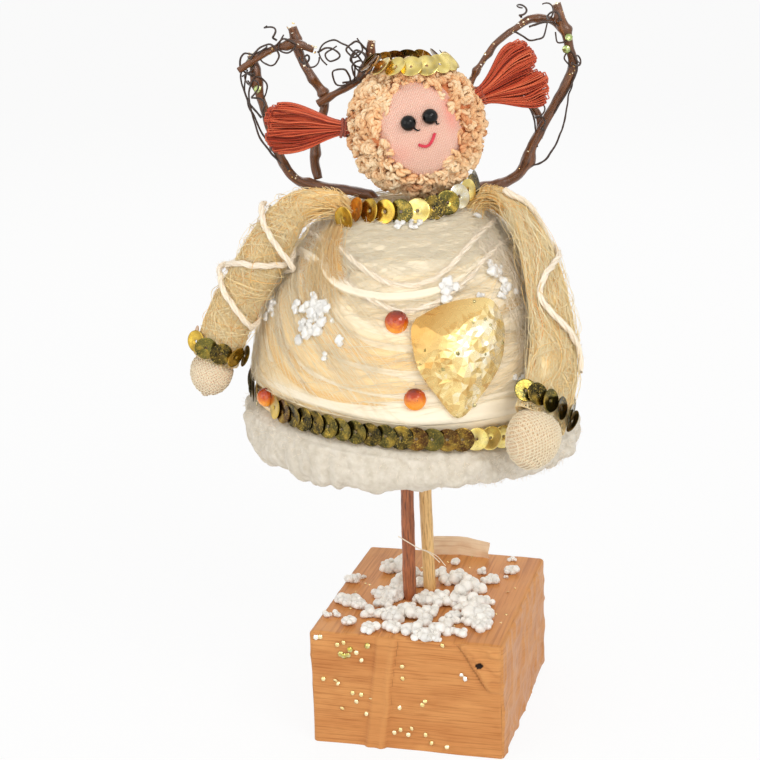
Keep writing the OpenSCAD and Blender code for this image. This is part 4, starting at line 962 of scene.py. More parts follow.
# Height and place of the bark's knots, along the leg
LEG_KNOTS = ((0.12, 24), (0.1, 39), (0.3, 59))
for name, node_name, foot, head, mat, bumps in (
        ("leg_bark", "leg_twig", (-2.7, -3.5, 35.4), (-2.2, -1.2, 88.0), "bark", 0.07),
        ("leg_peeled", "leg_stick", (3.7, 3.5, 35.4), (2.8, 1.2, 88.0), "peeled", 0.06)):
    foot, head = np.array(foot), np.array(head)
    d = unit(head - foot)
    p = resample(np.array([foot - d * IN_BASE, head + d * IN_BODY]), 0.6)
    s = along(p)
    a = ring_of(LEG_SIDES)
    q = table(np.cos(a) * LEG_R, np.sin(a) * LEG_R, s[:, None] * 0.35)
    radius = LEG_R + bumps * noise(q, 1.4, 60) + bumps * 0.8 * noise(q, 0.7, 61)
    free = ease((s - IN_BASE - 1) / 2) * ease((s[-1] - IN_BODY - 1 - s) / 2)
    if mat == "bark":
        knots = sum(h * bell((s - k) / 1.4) for h, k in LEG_KNOTS)
    else:
        knots = -0.1 * free
    radius = SOCKET_R + (radius - SOCKET_R + knots[:, None]) * free[:, None]
    if mat == "bark":
        radius = radius - 0.35 * free[:, None] * bell((a - 5.6 + 0.02 * s[:, None]) / 0.16)
    leg = Shape()
    add_rod(leg, p, radius, LEG_SIDES)
    make(name, leg, MAT[mat], hides=[node_name])

# Loose fibres: path, radius, tint
WISPS = [
    ([(-5.6, -5.0, 57), (-3.0, -5.9, 55.6), (0.5, -5.4, 53), (3.6, -3.0, 50.5), (6.8, -1.5, 46.6)], 0.18, 0.9),
    ([(2.0, -4.2, 52), (4.4, -1.6, 49.8), (6.5, 0.2, 47.5), (8.6, 0.6, 44.5)], 0.14, 0.8)]
wisp = Shape()
for path, radius, tint in WISPS:
    add_tubes(wisp, [smooth(path, 6)], radius, 5, tint)
make("leg_wisp", wisp, MAT["yarn"])

# Body: the wound ribbon, bands and fibres laid over it

RIBBON_TOP, RIBBON_TURNS = 68.0, 8


def ribbon_edge(turn, up):
    """The ribbon's edge, in degrees of climb, as the CAD model winds it."""
    low, top, turns = HEM_MID - HEM_DROP, RIBBON_TOP, RIBBON_TURNS
    climb = top - low
    pitch = climb / turns
    lift = np.clip((turn / 360 - 1 + (1 if up else 0)) * pitch / climb, 0, 1)
    b = low + climb * lift - HEM_TILT * sind(turn + 180) * (1 - lift)
    slope = np.hypot(DOME_R * sind(b), DOME_H * cosd(b)) * np.pi / 180
    return b - (HEM_TILT / turns + 0.6 / slope) if up else b


ribbon = Shape()
turn = np.arange(60, 60 + 208 * 15 + 0.1, 2.0)
x = np.linspace(0, 1, 13)
lo, hi = ribbon_edge(turn, False)[:, None], ribbon_edge(turn, True)[:, None] + 0.35
az = np.broadcast_to((turn + 180)[:, None], (len(turn), len(x)))
wave = np.stack([turn[:, None] / 9 + 0 * x, 0 * az + x * 2.5, 0 * az], -1)
fray = 0.5 * noise(wave, 1.0, 71) * (np.abs(x - 0.5) > 0.4)
b = lo + (hi - lo) * x + fray
arch = 1 - (2 * x - 1) ** 4
off = -1.0 + 1.15 * arch + 0.3 * noise(wave, 1.3, 72) * arch + 0.16 * noise(wave * [0.25, 4, 1], 1.0, 73) * arch
length = np.cumsum(np.full(len(turn), 1.4))[:, None]
tint = 0.62 + 0.3 * noise(np.stack([turn[:, None] / 70 + 0 * x, 0 * az + x * 3, 0 * az], -1), 1.0, 74)
ribbon.add(dome_pt(az, b, off), grid_faces(len(turn), len(x)), tint.reshape(-1),
           table(x * 9, length, turn[:, None] // 360 * 5.0).reshape(-1, 3))
make("body_ribbon_wound", ribbon, MAT["ribbon"], hides=["body_ribbon"])

# Bands over the front: places (az, b), width, lift, tint; the top bands get the highest tints, painted light
# that offsets the shade there
FRONT_BANDS = [
    ([(-75, 64), (-40, 63), (0, 62), (40, 63), (80, 65)], 9, 0.6, 1.0),
    ([(-70, 58), (-35, 56.5), (0, 55), (35, 57), (75, 60)], 9, 0.7, 0.98),
    ([(-40, 51), (-15, 49.5), (10, 49), (40, 51), (75, 55)], 9, 0.8, 0.92),
    ([(-30, 44), (-10, 42), (15, 42.5), (45, 46), (80, 50)], 9, 0.9, 0.84),
    ([(-34, 37), (-12, 35), (15, 35), (45, 38), (85, 42)], 9, 0.8, 0.72),
    ([(-30, 30), (-10, 27.5), (15, 27), (50, 29), (90, 33)], 9, 0.8, 0.88),
    ([(-36, 24), (-14, 20), (10, 19), (50, 20), (90, 23)], 9, 0.7, 0.8),
    ([(-44, 17), (-20, 12.5), (5, 11.5), (45, 12), (90, 14)], 9, 0.7, 0.9),
    ([(-125, 38), (-100, 29), (-84, 22), (-68, 15), (-50, 11), (-30, 9)], 9, 0.9, 0.55),
    ([(-122, 50), (-98, 41), (-80, 32), (-64, 23), (-46, 15.5), (-22, 12), (0, 11)], 11, 1.0, 0.34),
    ([(-115, 58), (-92, 50), (-74, 41), (-58, 31), (-42, 22.5), (-22, 17), (0, 15)], 11, 1.1, 0.5),
    ([(-100, 62), (-80, 56), (-64, 47), (-50, 37), (-36, 29), (-18, 23.5), (4, 21)], 11, 1.2, 0.36),
    ([(-74, 62), (-58, 55), (-46, 45), (-35, 37), (-22, 31.5), (-4, 28.5), (14, 28)], 8, 1.25, 0.72),
    ([(-75, 13), (-45, 9.5), (-15, 7.6), (15, 7.4), (60, 7), (95, 8)], 5.5, 1.2, 0.98),
    ([(-58, 63), (-50, 57), (-43, 50), (-36, 44), (-29, 40.5)], 6, 1.6, 0.2),
    ([(-62, 62), (-55, 55), (-49, 49), (-42, 44.5), (-33, 41.5), (-20, 39.6), (-5, 39), (15, 41), (39, 48)],
     3.4, 1.9, 1.0),
    ([(-80, 49), (-60, 48.6), (-48, 47.5), (-38, 45)], 2.8, 1.9, 1.0)]
# Bands elsewhere: az, b, heading, span, width, lift, tint
OTHER_BANDS = [
    (50, 38, 12, 90, 9, 1.0, 0.7), (60, 20, 8, 90, 9, 0.9, 0.76), (100, 45, -14, 120, 10, 0.9, 0.7),
    (110, 25, 10, 120, 10, 0.9, 0.55), (120, 60, 4, 120, 9, 0.9, 0.85), (150, 55, 6, 130, 11, 1.0, 0.8),
    (160, 35, -14, 120, 11, 1.1, 0.5), (175, 15, 8, 120, 11, 0.9, 0.7), (180, 63, 0, 150, 9, 0.9, 0.85),
    (200, 45, 14, 120, 11, 1.0, 0.75), (215, 24, -10, 120, 11, 0.9, 0.55), (240, 57, -6, 120, 9, 0.9, 0.85),
    (245, 36, 16, 110, 11, 1.1, 0.6), (262, 16, -6, 110, 10, 0.9, 0.7), (130, 10, -4, 120, 9, 0.9, 0.9),
    (225, 9, 4, 120, 9, 0.9, 0.9), (140, 40, 12, 130, 8, 1.2, 0.85), (190, 28, 6, 130, 8, 1.2, 0.7),
    (235, 46, -8, 120, 8, 1.2, 0.8), (95, 33, 4, 110, 8, 1.2, 0.8)]
COLLAR_LOW = 69.0


def over_hem(az, b, room=3.4):
    """Climb kept above the hem's string and below the collar."""
    return np.clip(b, hem_b(az) + room, COLLAR_LOW)


def add_band(shape, az, b, width, lift, tone, i):
    """One ridged strip laid along places on the dome; i sets its own noise."""
    n = len(az)
    b = over_hem(az, b, 3.2 + width * 0.42)
    centre, normal = dome_pt(az, b, 0), dome_n(az, b)
    side = unit(np.cross(normal, np.gradient(centre, axis=0)))
    s = along(centre)
    x = np.linspace(-1, 1, 25)
    q = table(s[:, None] / 16, x * width / 5 + 9 * i, 0.0)
    ends = np.sin(np.pi * np.linspace(0.01, 0.99, n)) ** 0.3
    half = width / 2 * (0.9 + 0.25 * noise(q[:, :1] * [1, 0, 0] + [0, i, 0], 1.0, 81))
    half = half * (0.25 + 0.75 * ends[:, None])
    ridge = (0.22 * noise(q * [0.35, 1, 1], 0.8, 82) + 0.16 * noise(q * [0.12, 3, 1], 1.0, 83)
             + 0.08 * noise(q * [0.08, 10, 1], 1.0, 85))
    rise = (lift * (1 - x**4) + ridge * (1 - x**8)) * (0.1 + 0.9 * ends[:, None]) - 0.35 * np.abs(x) ** 6
    v = centre[:, None] + side[:, None] * (half * x)[..., None] + normal[:, None] * rise[..., None]
    flat = table(x * width / 2, s[:, None], 11.0 * i)
    tint = tone + 0.14 * noise(q * [0.25, 1.5, 1], 1.0, 84) + 0.1 * noise(q * [0.06, 9, 1], 1.0, 86)
    shape.add(v, grid_faces(n, len(x)), tint.reshape(-1), flat.reshape(-1, 3))


bands = Shape()
for i, (points, width, lift, tone) in enumerate(FRONT_BANDS):
    q = smooth([(a, c, 0) for a, c in points], 16)
    add_band(bands, q[:, 0], q[:, 1], width, lift, tone, i)
for i, (baz, bb, heading, span, width, lift, tone) in enumerate(OTHER_BANDS):
    A, B = sweep([baz], [bb], [heading], [span], int(span * 0.9))
    add_band(bands, A[0], B[0], width, lift, tone, 40 + i)
make("body_bands", bands, MAT["ribbon"])


def dome_fibres(shape, seed, count, az, b, heading, span, lift, tone, radius=0.055, points=22):
    """Fibres laid round the dome. Two values are a range, but for heading they are a middle and a spread."""
    r = rng(seed)
    a, c = r.uniform(*az, count), r.uniform(*b, count)
    A, B = sweep(a, c, r.normal(*heading, count), r.uniform(*span, count), points)
    t = np.linspace(0, 1, points)
    q = table(t * 2.2 + r.uniform(0, 90, count)[:, None], np.arange(count)[:, None] * 3.7, 0.0)
    B = over_hem(A, B + 1.6 * noise(q, 1.0, seed))
    bow = np.sin(np.pi * t) ** 0.4
    off = (0.15 + r.uniform(*lift, count)[:, None] + 0.35 * noise(q, 0.6, seed + 1)) * (0.45 + 0.55 * bow)
    R = radius * r.uniform(0.6, 1.35, count)[:, None] * (0.35 + 0.65 * bow)
    add_tubes(shape, dome_pt(A, B, off), R, 3, np.clip(r.normal(tone, 0.1, count), 0, 1))


fibres = Shape()
dome_fibres(fibres, 101, 330, (-90, 90), (50, 68), (0, 3), (40, 110), (0.7, 1.3), 0.95)
dome_fibres(fibres, 102, 330, (-85, -20), (14, 48), (-34, 5), (30, 70), (0.9, 1.6), 0.68)
dome_fibres(fibres, 103, 110, (-54, -38), (42, 56), (-60, 5), (24, 40), (1.5, 2.0), 0.25)
dome_fibres(fibres, 104, 260, (-30, 70), (8, 46), (3, 5), (30, 80), (0.7, 1.3), 0.8)
dome_fibres(fibres, 106, 70, (-90, 90), (8, 66), (0, 40), (14, 40), (1.2, 2.6), 0.9, 0.045)
make("body_fibres_front", fibres, MAT["fibre"])
wisps = Shape()
dome_fibres(wisps, 107, 420, (40, 60), (12, 54), (70, 35), (4, 12), (0.9, 2.6), 0.9, 0.05, 10)
dome_fibres(wisps, 108, 160, (-80, -58), (26, 46), (40, 40), (3, 9), (0.6, 1.5), 0.9, 0.045, 10)
make("body_wisps", wisps, MAT["yarn"])
fibres = Shape()
dome_fibres(fibres, 111, 420, (90, 270), (40, 68), (4, 8), (40, 100), (0.7, 1.5), 0.8)
dome_fibres(fibres, 112, 760, (80, 280), (6, 46), (0, 12), (40, 90), (0.8, 1.5), 0.7)
dome_fibres(fibres, 113, 70, (90, 270), (8, 66), (0, 40), (14, 40), (1.2, 2.6), 0.9, 0.045)
make("body_fibres_back", fibres, MAT["fibre"])

# Fibres laid over the flat top, round the neck
cap = Shape()
r = rng(115)
count = 340
t = np.linspace(-1, 1, 14)
a = r.uniform(0, 360, count)
miss = r.uniform(3.5, 17, count)
half = np.sqrt(np.maximum(18.2**2 - miss**2, 4))
P = (around(a)[:, None] * miss[:, None, None] + beside(a)[:, None] * (half[:, None] * t)[..., None]
     + Z * (TOP_Z - 1.2 + r.uniform(0.1, 1.0, count)[:, None, None] + 0.4 * (1 - t**2)[None, :, None]))
P[..., 2] -= 0.11 * np.maximum(np.linalg.norm(P[..., :2], axis=-1) - 14, 0) ** 1.5
add_tubes(cap, P, 0.13, 3, np.clip(r.normal(0.7, 0.15, count), 0, 1))
make("body_top_fibres", cap, MAT["fibre"])

# Body yarn and snow bits
turn = np.linspace(0, 2, 241)
az = 180 + 360 * turn
yarn_path = dome_pt(az, 49 - 14 * np.maximum(0, cosd(az)) ** 6 + 7 * (turn - 0.5), YARN_D / 2 - 0.1)
yarn = Shape()
P, R = plied(yarn_path, YARN_D, 3, 16.0, 0.55, 0.3, 3)
add_tubes(yarn, P, R, 7, 0.6)
add_tubes(yarn, fuzz(yarn_path, YARN_D, 13.0, 1.3, 121), 0.045, 3, 0.8)
make("body_yarn_laid", yarn, MAT["yarn"], hides=["body_yarn"])

bits = Shape()
r = rng(141)
# Clusters of snow bits: az, b, size, count, spread
CLUSTERS = [
    (-72, 30, 1.6, 12, 2.4), (-41, 34, 1.7, 26, 3.6), (-37, 30, 1.5, 14, 2.6), (-45, 29, 1.4, 8, 2.4),
    (16, 40.5, 1.7, 8, 1.5), (-46, 25, 1.3, 3, 0.8), (-33, 22, 1.2, 2, 0.6), (44, 38, 1.6, 12, 3.2),
    (42, 44, 1.4, 8, 2.4), (40, 12, 1.5, 8, 2.6), (62, 62, 1.3, 3, 0.8), (30, 37, 1.3, 3, 1.0),
    (-52, 33, 1.4, 4, 1.0), (-28, 26, 1.3, 2, 0.6), (-8, 64, 1.0, 8, 4.0), (6, 63, 0.9, 8, 4.0)]
spots, sizes, normals = [], [], []
for caz, cb, size, count, wide in CLUSTERS:
    for _ in range(count):
        a, c = caz + r.normal(0, wide * 0.8), cb + r.normal(0, wide * 0.6)
        s = size * r.uniform(0.4, 0.95)
        spots.append(dome_pt(a, c, 1.1 + s * 0.5))
        sizes.append(s)
        normals.append(dome_n(a, c))
add_blobs(bits, spots, sizes, 142, rough=0.5, squash=0.6, normal=normals)
make("body_snow_bits", bits, MAT["snow"], hides=["body_snow"])

# Hem: one lumpy skin round a tube under the dome's edge, and loose hairs on it
AROUND, ACROSS = 900, 60
HEM_HALF, HEM_GAP, HEM_SINK = 4.7, 0.6, 0.45


def hem_top(az):
    return dome_pt(az, hem_b(az) - HEM_DROP, 0)[..., 2]


def hem_tube(az, a):
    """Points of the hem's tube at angle a round it, and the directions out of it."""
    out = around(az) * np.cos(a)[..., None] + Z * np.sin(a)[..., None]
    mid = around(az) * (SKIRT_R + HEM_GAP + HEM_HALF) + Z * (hem_top(az) - HEM_SINK - HEM_HALF)[..., None]
    return mid + HEM_HALF * out, out


fluff = Shape()
az = np.linspace(0, 360, AROUND + 1)[:-1, None]
a = np.linspace(0, 2 * np.pi, ACROSS + 1)[:-1][None]
ring, out = hem_tube(az, a)
bend = ring + 1.2 * wobble(ring, 5.0, 148, 40)
lumps = np.sqrt(noise(bend, 5.5, 152) ** 2 + 0.01)
small = np.sqrt(noise(bend, 2.4, 153) ** 2 + 0.02)
push = 0.7 * noise(ring, 9, 151) + 2.1 * lumps + 0.8 * small - 0.35 + 0.12 * noise(ring, 0.9, 154)
push = push * np.where(np.sin(a) > 0.55, 0.35, 1.0) * np.where(np.cos(a) < -0.5, 0.2, 1.0)
below = np.maximum(-np.sin(a), 0)
core_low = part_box("body_core")[0][2] * 1000 - 0.8
lower = (1.6 * bell(((az + 15 + 180) % 360 - 180) / 5.0) * below
         + np.maximum(0, hem_top(az) - HEM_SINK - 2 * HEM_HALF - core_low) * below**0.6)
ring = ring + out * push[..., None] - Z * lower[..., None]
fluff.add(np.swapaxes(ring, 0, 1)[::-1].reshape(-1, 3), grid_faces(ACROSS, AROUND, close=True), 0.5)
k = np.arange(AROUND)
l = (k + 1) % AROUND
last = (ACROSS - 1) * AROUND
fluff.f.append(np.stack([last + k, last + l, l, k], 1))
# Drips: az, reach, height, size
DRIPS = [(-15, 4.9, -5.6, 1.9), (-13, 4.6, -7.2, 1.5), (-17, 4.4, -7.6, 1.3), (-15, 4.2, -8.8, 1.1),
         (-8, 4.6, -5.4, 1.6), (-27, 4.4, -5.2, 1.5)]
spots = [around(q[0]) * (SKIRT_R + q[1] + 0.6) + Z * (hem_top(q[0]) - HEM_HALF + q[2] + 0.6) for q in DRIPS]
add_blobs(fluff, spots, [q[3] for q in DRIPS], 157, rough=0.3)
make("hem_snow", fluff, MAT["fluff"], hides=["hem_fluff"])

fuzzy = Shape()
r = rng(158)
count = 4200
az, a = r.uniform(0, 360, count), r.uniform(-0.8 * np.pi, 0.25 * np.pi, count)
add_hairs(fuzzy, *hem_tube(az, a), 0.8, (0.5, 1.7), 0.9, r)
make("hem_fuzz", fuzzy, MAT["yarn"])

# Sequins
OLIVE, DARK, BROWN = lin(84, 82, 42), lin(40, 38, 20), lin(84, 54, 26)
GOLD, PALE, AMBER, WHITE = lin(206, 172, 76), lin(236, 216, 146), lin(196, 126, 46), lin(250, 246, 232)
DISC_R = np.array([0.4, 0.52, 1.3, 2.1, 2.9, 3.15, 3.22])
DISC_EDGE = np.array([0.06, 0.13, 0.14, 0.14, 0.14, 0.1, 0.0])
DISC_SEGS, CUP = 30, 0.16


def add_sequin(shape, c, x, z, colour, seed, tilt=4.0, glint=None, size=1.0):
    """A thin cupped disc with a thread hole; its colour turns towards gold over one side, a painted glint in
    place of reflections.
    """
    r = rng(seed)
    m = axes(np.asarray(x, float), np.asarray(z, float))
    da, db = np.radians(r.normal(0, tilt, 2))
    m = m @ np.array([[1, 0, db], [0, 1, -da], [-db, da, 1]])
    a = ring_of(DISC_SEGS)
    rad = DISC_R[:, None]
    bend = CUP * ((rad - 0.5) / 2.5) ** 2 - CUP * 0.45 + 0.1 * np.sin(2 * a + r.uniform(0, 6)) * (rad / 3) ** 2
    rim = DISC_EDGE[:, None]
    top, low = (table(rad * np.cos(a), rad * np.sin(a), bend + way * rim) for way in (1, -1))
    p = np.concatenate([top[::-1], low]).reshape(-1, 3)
    k = len(DISC_R) * 2
    f = grid_faces(k, DISC_SEGS, close=True)
    n = (k - 1) * DISC_SEGS
    seg = np.arange(DISC_SEGS)
    f = np.concatenate([f, np.stack([n + seg, n + (seg + 1) % DISC_SEGS, (seg + 1) % DISC_SEGS, seg], 1)])
    turn = np.arctan2(p[:, 1], p[:, 0])
    # Painted glints: a few sharp rays and a noise patch turn the colour towards the glint colour, and a second
    # noise varies its brightness, painted reflections on the metal.
    glint_share = sum(np.clip(np.cos(turn - r.uniform(0, 2 * np.pi)), 0, 1) ** r.uniform(6, 40) for _ in range(3))
    glint_share = np.clip(glint_share * 0.2 + 0.3 * noise(p + seed * 3.1, 1.1, 162), 0, 1)[:, None]
    glint = GOLD * 1.3 if glint is None else glint
    col = (colour * (1 - glint_share) + glint * glint_share) * (0.85 + 0.5 * noise(p + seed * 3.1, 1.7, 161))[:, None]
    shape.add(size * p @ m.T + c, f[:, ::-1], 0.5, p + [seed * 9.0, 0, 0], np.clip(col, 0.004, 1))


def strung(shape, c, n, t, lean, colour, seed, **more):
    add_sequin(shape, c, np.asarray(t) * cosd(lean) + np.asarray(n) * sind(lean), n, colour, seed, **more)


hem = Shape()
HEM_DISCS, HEM_LEAN = 71, 10.0
HEM_OFF = 3 * sind(HEM_LEAN) + 0.3 + 0.45
r = rng(171)
for i in range(HEM_DISCS):
    az = i * 360 / HEM_DISCS
    if abs((az + 63 + 540) % 360 - 180) <= 7.09:
        continue
    view = (az + 180) % 360 - 180
    if -75 < view < -55:
        colour = (GOLD, PALE)[i % 2]
    elif 19 < view < 38:
        colour = PALE
    elif 38 <= view < 52:
        colour = BROWN
    else:
        colour = (OLIVE, DARK, OLIVE * 0.8, BROWN, DARK)[r.integers(0, 5)]
    strung(hem, dome_pt(az, hem_b(az), HEM_OFF), dome_n(az, hem_b(az)), beside(az), HEM_LEAN, colour, 200 + i,
           size=1.06)
make("hem_string", hem, MAT["sequin"], hides=["hem_sequins"])

collar = Shape()
step = 4.6 / 20.2 * 180 / np.pi
COLLAR = [AMBER, GOLD, GOLD, OLIVE, PALE, DARK, OLIVE, WHITE, PALE, DARK, OLIVE]
for i, colour in enumerate(COLLAR):
    az = -44 + step * i
    c = (dome_pt(az, np.degrees(np.arccos(19.2 / DOME_R)), 0) + 3.3 * (around(az) * sind(20) + Z * cosd(20))
         + Z * 4.3 * ease((az - 4) / 80))
    strung(collar, c, around(az) * cosd(14) + Z * sind(14), beside(az), 14.0, colour, 300 + i, tilt=2.5,
           size=1.1 if i < 8 else 1.0)
make("collar_string", collar, MAT["sequin"], hides=["collar_sequins"])

loose = Shape()
add_sequin(loose, dome_pt(-48, 62, 3.15), beside(-48), around(-48), GOLD, 331, size=1.08)
make("shoulder_disc", loose, MAT["sequin"], hides=["shoulder_sequin"])

halo = Shape()
halo_b = np.degrees(np.arcsin(11.3 / 21.15))
HALO_DISCS = 16
for i in range(HALO_DISCS):
    az = i * 360 / HALO_DISCS
    n = around(az) * sind(halo_b) + Z * cosd(halo_b)
    face_n = around(az) * sind(46) + Z * cosd(46)
    view = (az + 180) % 360 - 180
    colour = AMBER if -75 < view < -55 else PALE if abs(view) < 70 else (BROWN, GOLD, OLIVE)[i % 3]
    strung(halo, HEAD_C + n * 21.3 + [-1.2, 0, 0.5], face_n, beside(az), 14.0, colour, 340 + i, tilt=3.0,
           glint=PALE * 1.1)
make("halo_string", halo, MAT["sequin"], hides=["halo_sequins"])

# Foil piece: a puffed leaf of crumpled foil, its facets coloured with painted reflections
FOIL_RIM = [
    (-42, 41), (-48, 33), (-49, 19), (-45, -3), (-30, -25), (-9, -47), (19, -30), (43, -6), (51, 16),
    (51, 34), (41, 50), (17, 53), (-13, 50)]
rim = smooth([(x * 0.265, y * 0.32, 0) for x, y in FOIL_RIM + FOIL_RIM[:1]], 6)[:-1]
r = rng(181)
inside = []
while len(inside) < 300:
    q = np.array([r.uniform(-13, 14), r.uniform(-15, 17.2), 0])
    d = np.min(np.linalg.norm(rim - q, axis=1))
    crossing = 0
    for (x0, y0, _), (x1, y1, _) in zip(np.roll(rim, 1, axis=0), rim):
        if (y1 > q[1]) != (y0 > q[1]) and q[0] < (x0 - x1) * (q[1] - y1) / (y0 - y1) + x1:
            crossing += 1
    if crossing % 2 and d > 0.6 and all(np.linalg.norm(q - p) > 0.85 for p in inside):
        inside.append(q)
points = np.concatenate([rim, np.array(inside)])
m = len(rim)
edges = [(i, (i + 1) % m) for i in range(m)]
flat2, _, tri, _, _, _ = delaunay_2d_cdt([Vector(p[:2]) for p in points], edges, [], 1, 1e-5)
flat2 = np.array([p[:] for p in flat2])
tri = np.array([t for t in tri if len(t) == 3])
depth = np.array([np.min(np.linalg.norm(rim[:, :2] - p, axis=1)) for p in flat2])
up_left = flat2 @ unit(np.array([-0.55, 0.83]))
sleek = ease((up_left - 6.2) / 1.2)
height = 0.7 + 6.2 * (1 - (1 - np.clip(depth / 9.5, 0, 1)) ** 1.5)
crumple = 0.55 * noise(np.c_[flat2, 0 * depth], 4.5, 182) + r.normal(0, 0.2, len(depth))
height = height + (1 - sleek) * crumple * ease(depth / 1.5)
height = height - 0.5 * bell((up_left - 6.6) / 0.7) * ease(depth / 2)
one, two = (flat2[tri[:, k]] - flat2[tri[:, 0]] for k in (1, 2))
area = one[:, 0] * two[:, 1] - one[:, 1] * two[:, 0]
tri = np.where((area > 0)[:, None], tri, tri[:, ::-1])
FOIL_AZ, FOIL_B = 16.5, 20.5
fm = axes(beside(FOIL_AZ), dome_n(FOIL_AZ, FOIL_B))
p0 = dome_pt(FOIL_AZ, FOIL_B, 0.35)
front = np.stack([flat2[:, 0], flat2[:, 1], height], 1)
corner = front[tri]
mid3 = corner.mean(axis=1)
facet = unit(np.cross(corner[:, 1] - corner[:, 0], corner[:, 2] - corner[:, 0]))
# Each facet's tone is painted light: paler the more squarely it faces a fixed direction, a painted reflection
# on the flat-shaded metal.
painted_facet_light = 0.62 + 0.9 * (facet @ unit(np.array([0.35, 0.1, 1.0])) - 0.8)
painted_facet_light = painted_facet_light + 0.3 * noise(mid3 * [1, 1, 0], 3.0, 183) + r.normal(0, 0.1, len(tri))
slick = sleek[tri].mean(axis=1)
# The sleek part gets a painted reflection that darkens towards its upper-left edge.
painted_facet_light = np.clip(painted_facet_light * (1 - slick) + slick * (0.3 - 0.03 * (mid3[:, 1] - mid3[:, 0] - 10)), 0, 1)[:, None]
# Painted shade: facets along these crease lines are darker.
CREASES = (((-8.1, -4.0), (2.1, -5.9)), ((-4.5, 9.2), (8.5, 14.0)), ((1.0, 5.0), (8.5, 1.5)),
           ((-2.0, -9.5), (3.5, -2.5)))
for a, c in CREASES:
    a, c = np.array(a), np.array(c)
    k = np.clip((mid3[:, :2] - a) @ (c - a) / np.sum((c - a) ** 2), 0, 1)[:, None]
    near = np.linalg.norm(mid3[:, :2] - a - k * (c - a), axis=1)
    painted_facet_light = painted_facet_light * (1 - 0.75 * bell(near / 0.5))[:, None]
# Tones from deep to bright for the painted facet light; BRIGHT is a painted highlight.
DEEP, MIDDLE, BRIGHT = lin(206, 158, 84), lin(248, 222, 152), lin(255, 250, 228)
tone = np.where(painted_facet_light < 0.5, DEEP + (MIDDLE - DEEP) * painted_facet_light * 2, MIDDLE + (BRIGHT - MIDDLE) * (painted_facet_light * 2 - 1))
foil = Shape()
corner = corner.reshape(-1, 3)
foil.add(corner @ fm.T + p0, np.arange(len(corner)).reshape(-1, 3), 0.5, corner, np.repeat(tone, 3, axis=0))
under = np.stack([flat2[:, 0] * 0.97, flat2[:, 1] * 0.97, 0.1 + 0 * height], 1)
sides = np.concatenate([front[:m], under[:m]])
k = np.arange(m)
foil.add(sides @ fm.T + p0, np.stack([(k + 1) % m, k, m + k, m + (k + 1) % m], 1)[:, ::-1], 0.5, sides, MIDDLE)
foil.add(under @ fm.T + p0, tri[:, ::-1], 0.5, under, MIDDLE)
make("foil_leaf", foil, MAT["foil"], hides=["foil_heart"], flat_shaded=True)
spots = Shape()
SPOTS = [(-5.9, -0.9), (-2.7, 3.1), (2.1, -11.4), (7.0, 10.9), (11.5, 3.9), (-10.4, 4.4), (6.1, 15.0),
         (8.6, 8.6), (3.4, 10.4)]
for i, q in enumerate(SPOTS):
    near = np.argmin(np.linalg.norm(flat2 - q, axis=1))
    add_flake(spots, (front[near] + [0, 0, 0.12]) @ fm.T + p0, fm[:, 2], 0.62 if i < 3 else 0.45, 8,
              lin(142, 128, 62), 590 + i)
make("foil_spots", spots, MAT["glitter"])

# Head: hair, face, eyes' threads and mouth


def in_face(v, grow):
    """Whether head directions v, in the head's own frame, fall in the face's oval."""
    across, up = v[:, 0] * HOOD_R / (10.4 + grow), (v[:, 2] * HOOD_R - 1.5) / (12.7 + grow)
    return (v[:, 1] < 0) & (across**2 + up**2 < 1)


# The scalp under the curls is a darker red-brown: painted shade seen in the gaps between the loops.
scalp = Shape()
v, f = ball(5)
lump = 17.2 + 0.35 * noise(v, 0.12, 191)
sink = in_face(v, -0.6)
scalp.add(turned(v * np.where(sink, 15.0, lump)[:, None]) + HEAD_C, f[~np.any(sink[f], axis=1)], 0.4, v * 40)
make("hair_base", scalp, MAT["hair_base"])

r = rng(192)
count = 800
k = np.arange(count) + 0.5
zz = 1 - 2 * k / count
aa = np.radians(137.5077) * k
v = np.stack([np.sqrt(1 - zz**2) * np.cos(aa), np.sqrt(1 - zz**2) * np.sin(aa), zz], 1)
v = unit(v + 0.05 * r.normal(size=v.shape))
v = v[~in_face(v, -0.4)]
w = turned(v)
w = w[w[:, 2] > -0.93]
count = len(w)
e1 = unit(np.cross(w, unit(r.normal(size=(count, 3)))))
e2 = np.cross(w, e1)
rise = r.uniform(0.2, 1.3, count)
loop = r.uniform(0.9, 1.75, count)
tt = np.linspace(0, 1, 26)
ang = 2 * np.pi * (r.uniform(0.7, 1.15, count)[:, None] * tt[None] + r.uniform(0, 1, count)[:, None])
lift2 = e2 * np.cos(rise)[:, None] + w * np.sin(rise)[:, None]
drift = e1 * r.normal(0, 0.9, count)[:, None] + e2 * r.normal(0, 0.9, count)[:, None]
drift = drift[:, None] * tt[None, :, None]
turn = (np.cos(ang)[..., None] * e1[:, None] * r.uniform(0.6, 1, count)[:, None, None]
        + np.sin(ang)[..., None] * lift2[:, None])
P = (w * (17.7 + loop * np.sin(rise) * 0.7)[:, None])[:, None] + loop[:, None, None] * turn + drift
reach = np.linalg.norm(P, axis=2, keepdims=True)
P = P * np.minimum(1, (19.2 + 0.35 * (reach - 19.2)) / np.maximum(reach, 19.2)) + HEAD_C
_, U, W = frames(P)
curls = Shape()
tone = np.clip(0.55 + 0.25 * noise(w * 20, 7, 194) + r.normal(0, 0.16, count), 0, 1)
thick = r.uniform(0.85, 1.3, count)[:, None]
lumpy = 1 + 0.12 * noise(table(tt * 9 + 5 * np.arange(count)[:, None], 0.0, 0.0), 1.0, 193)
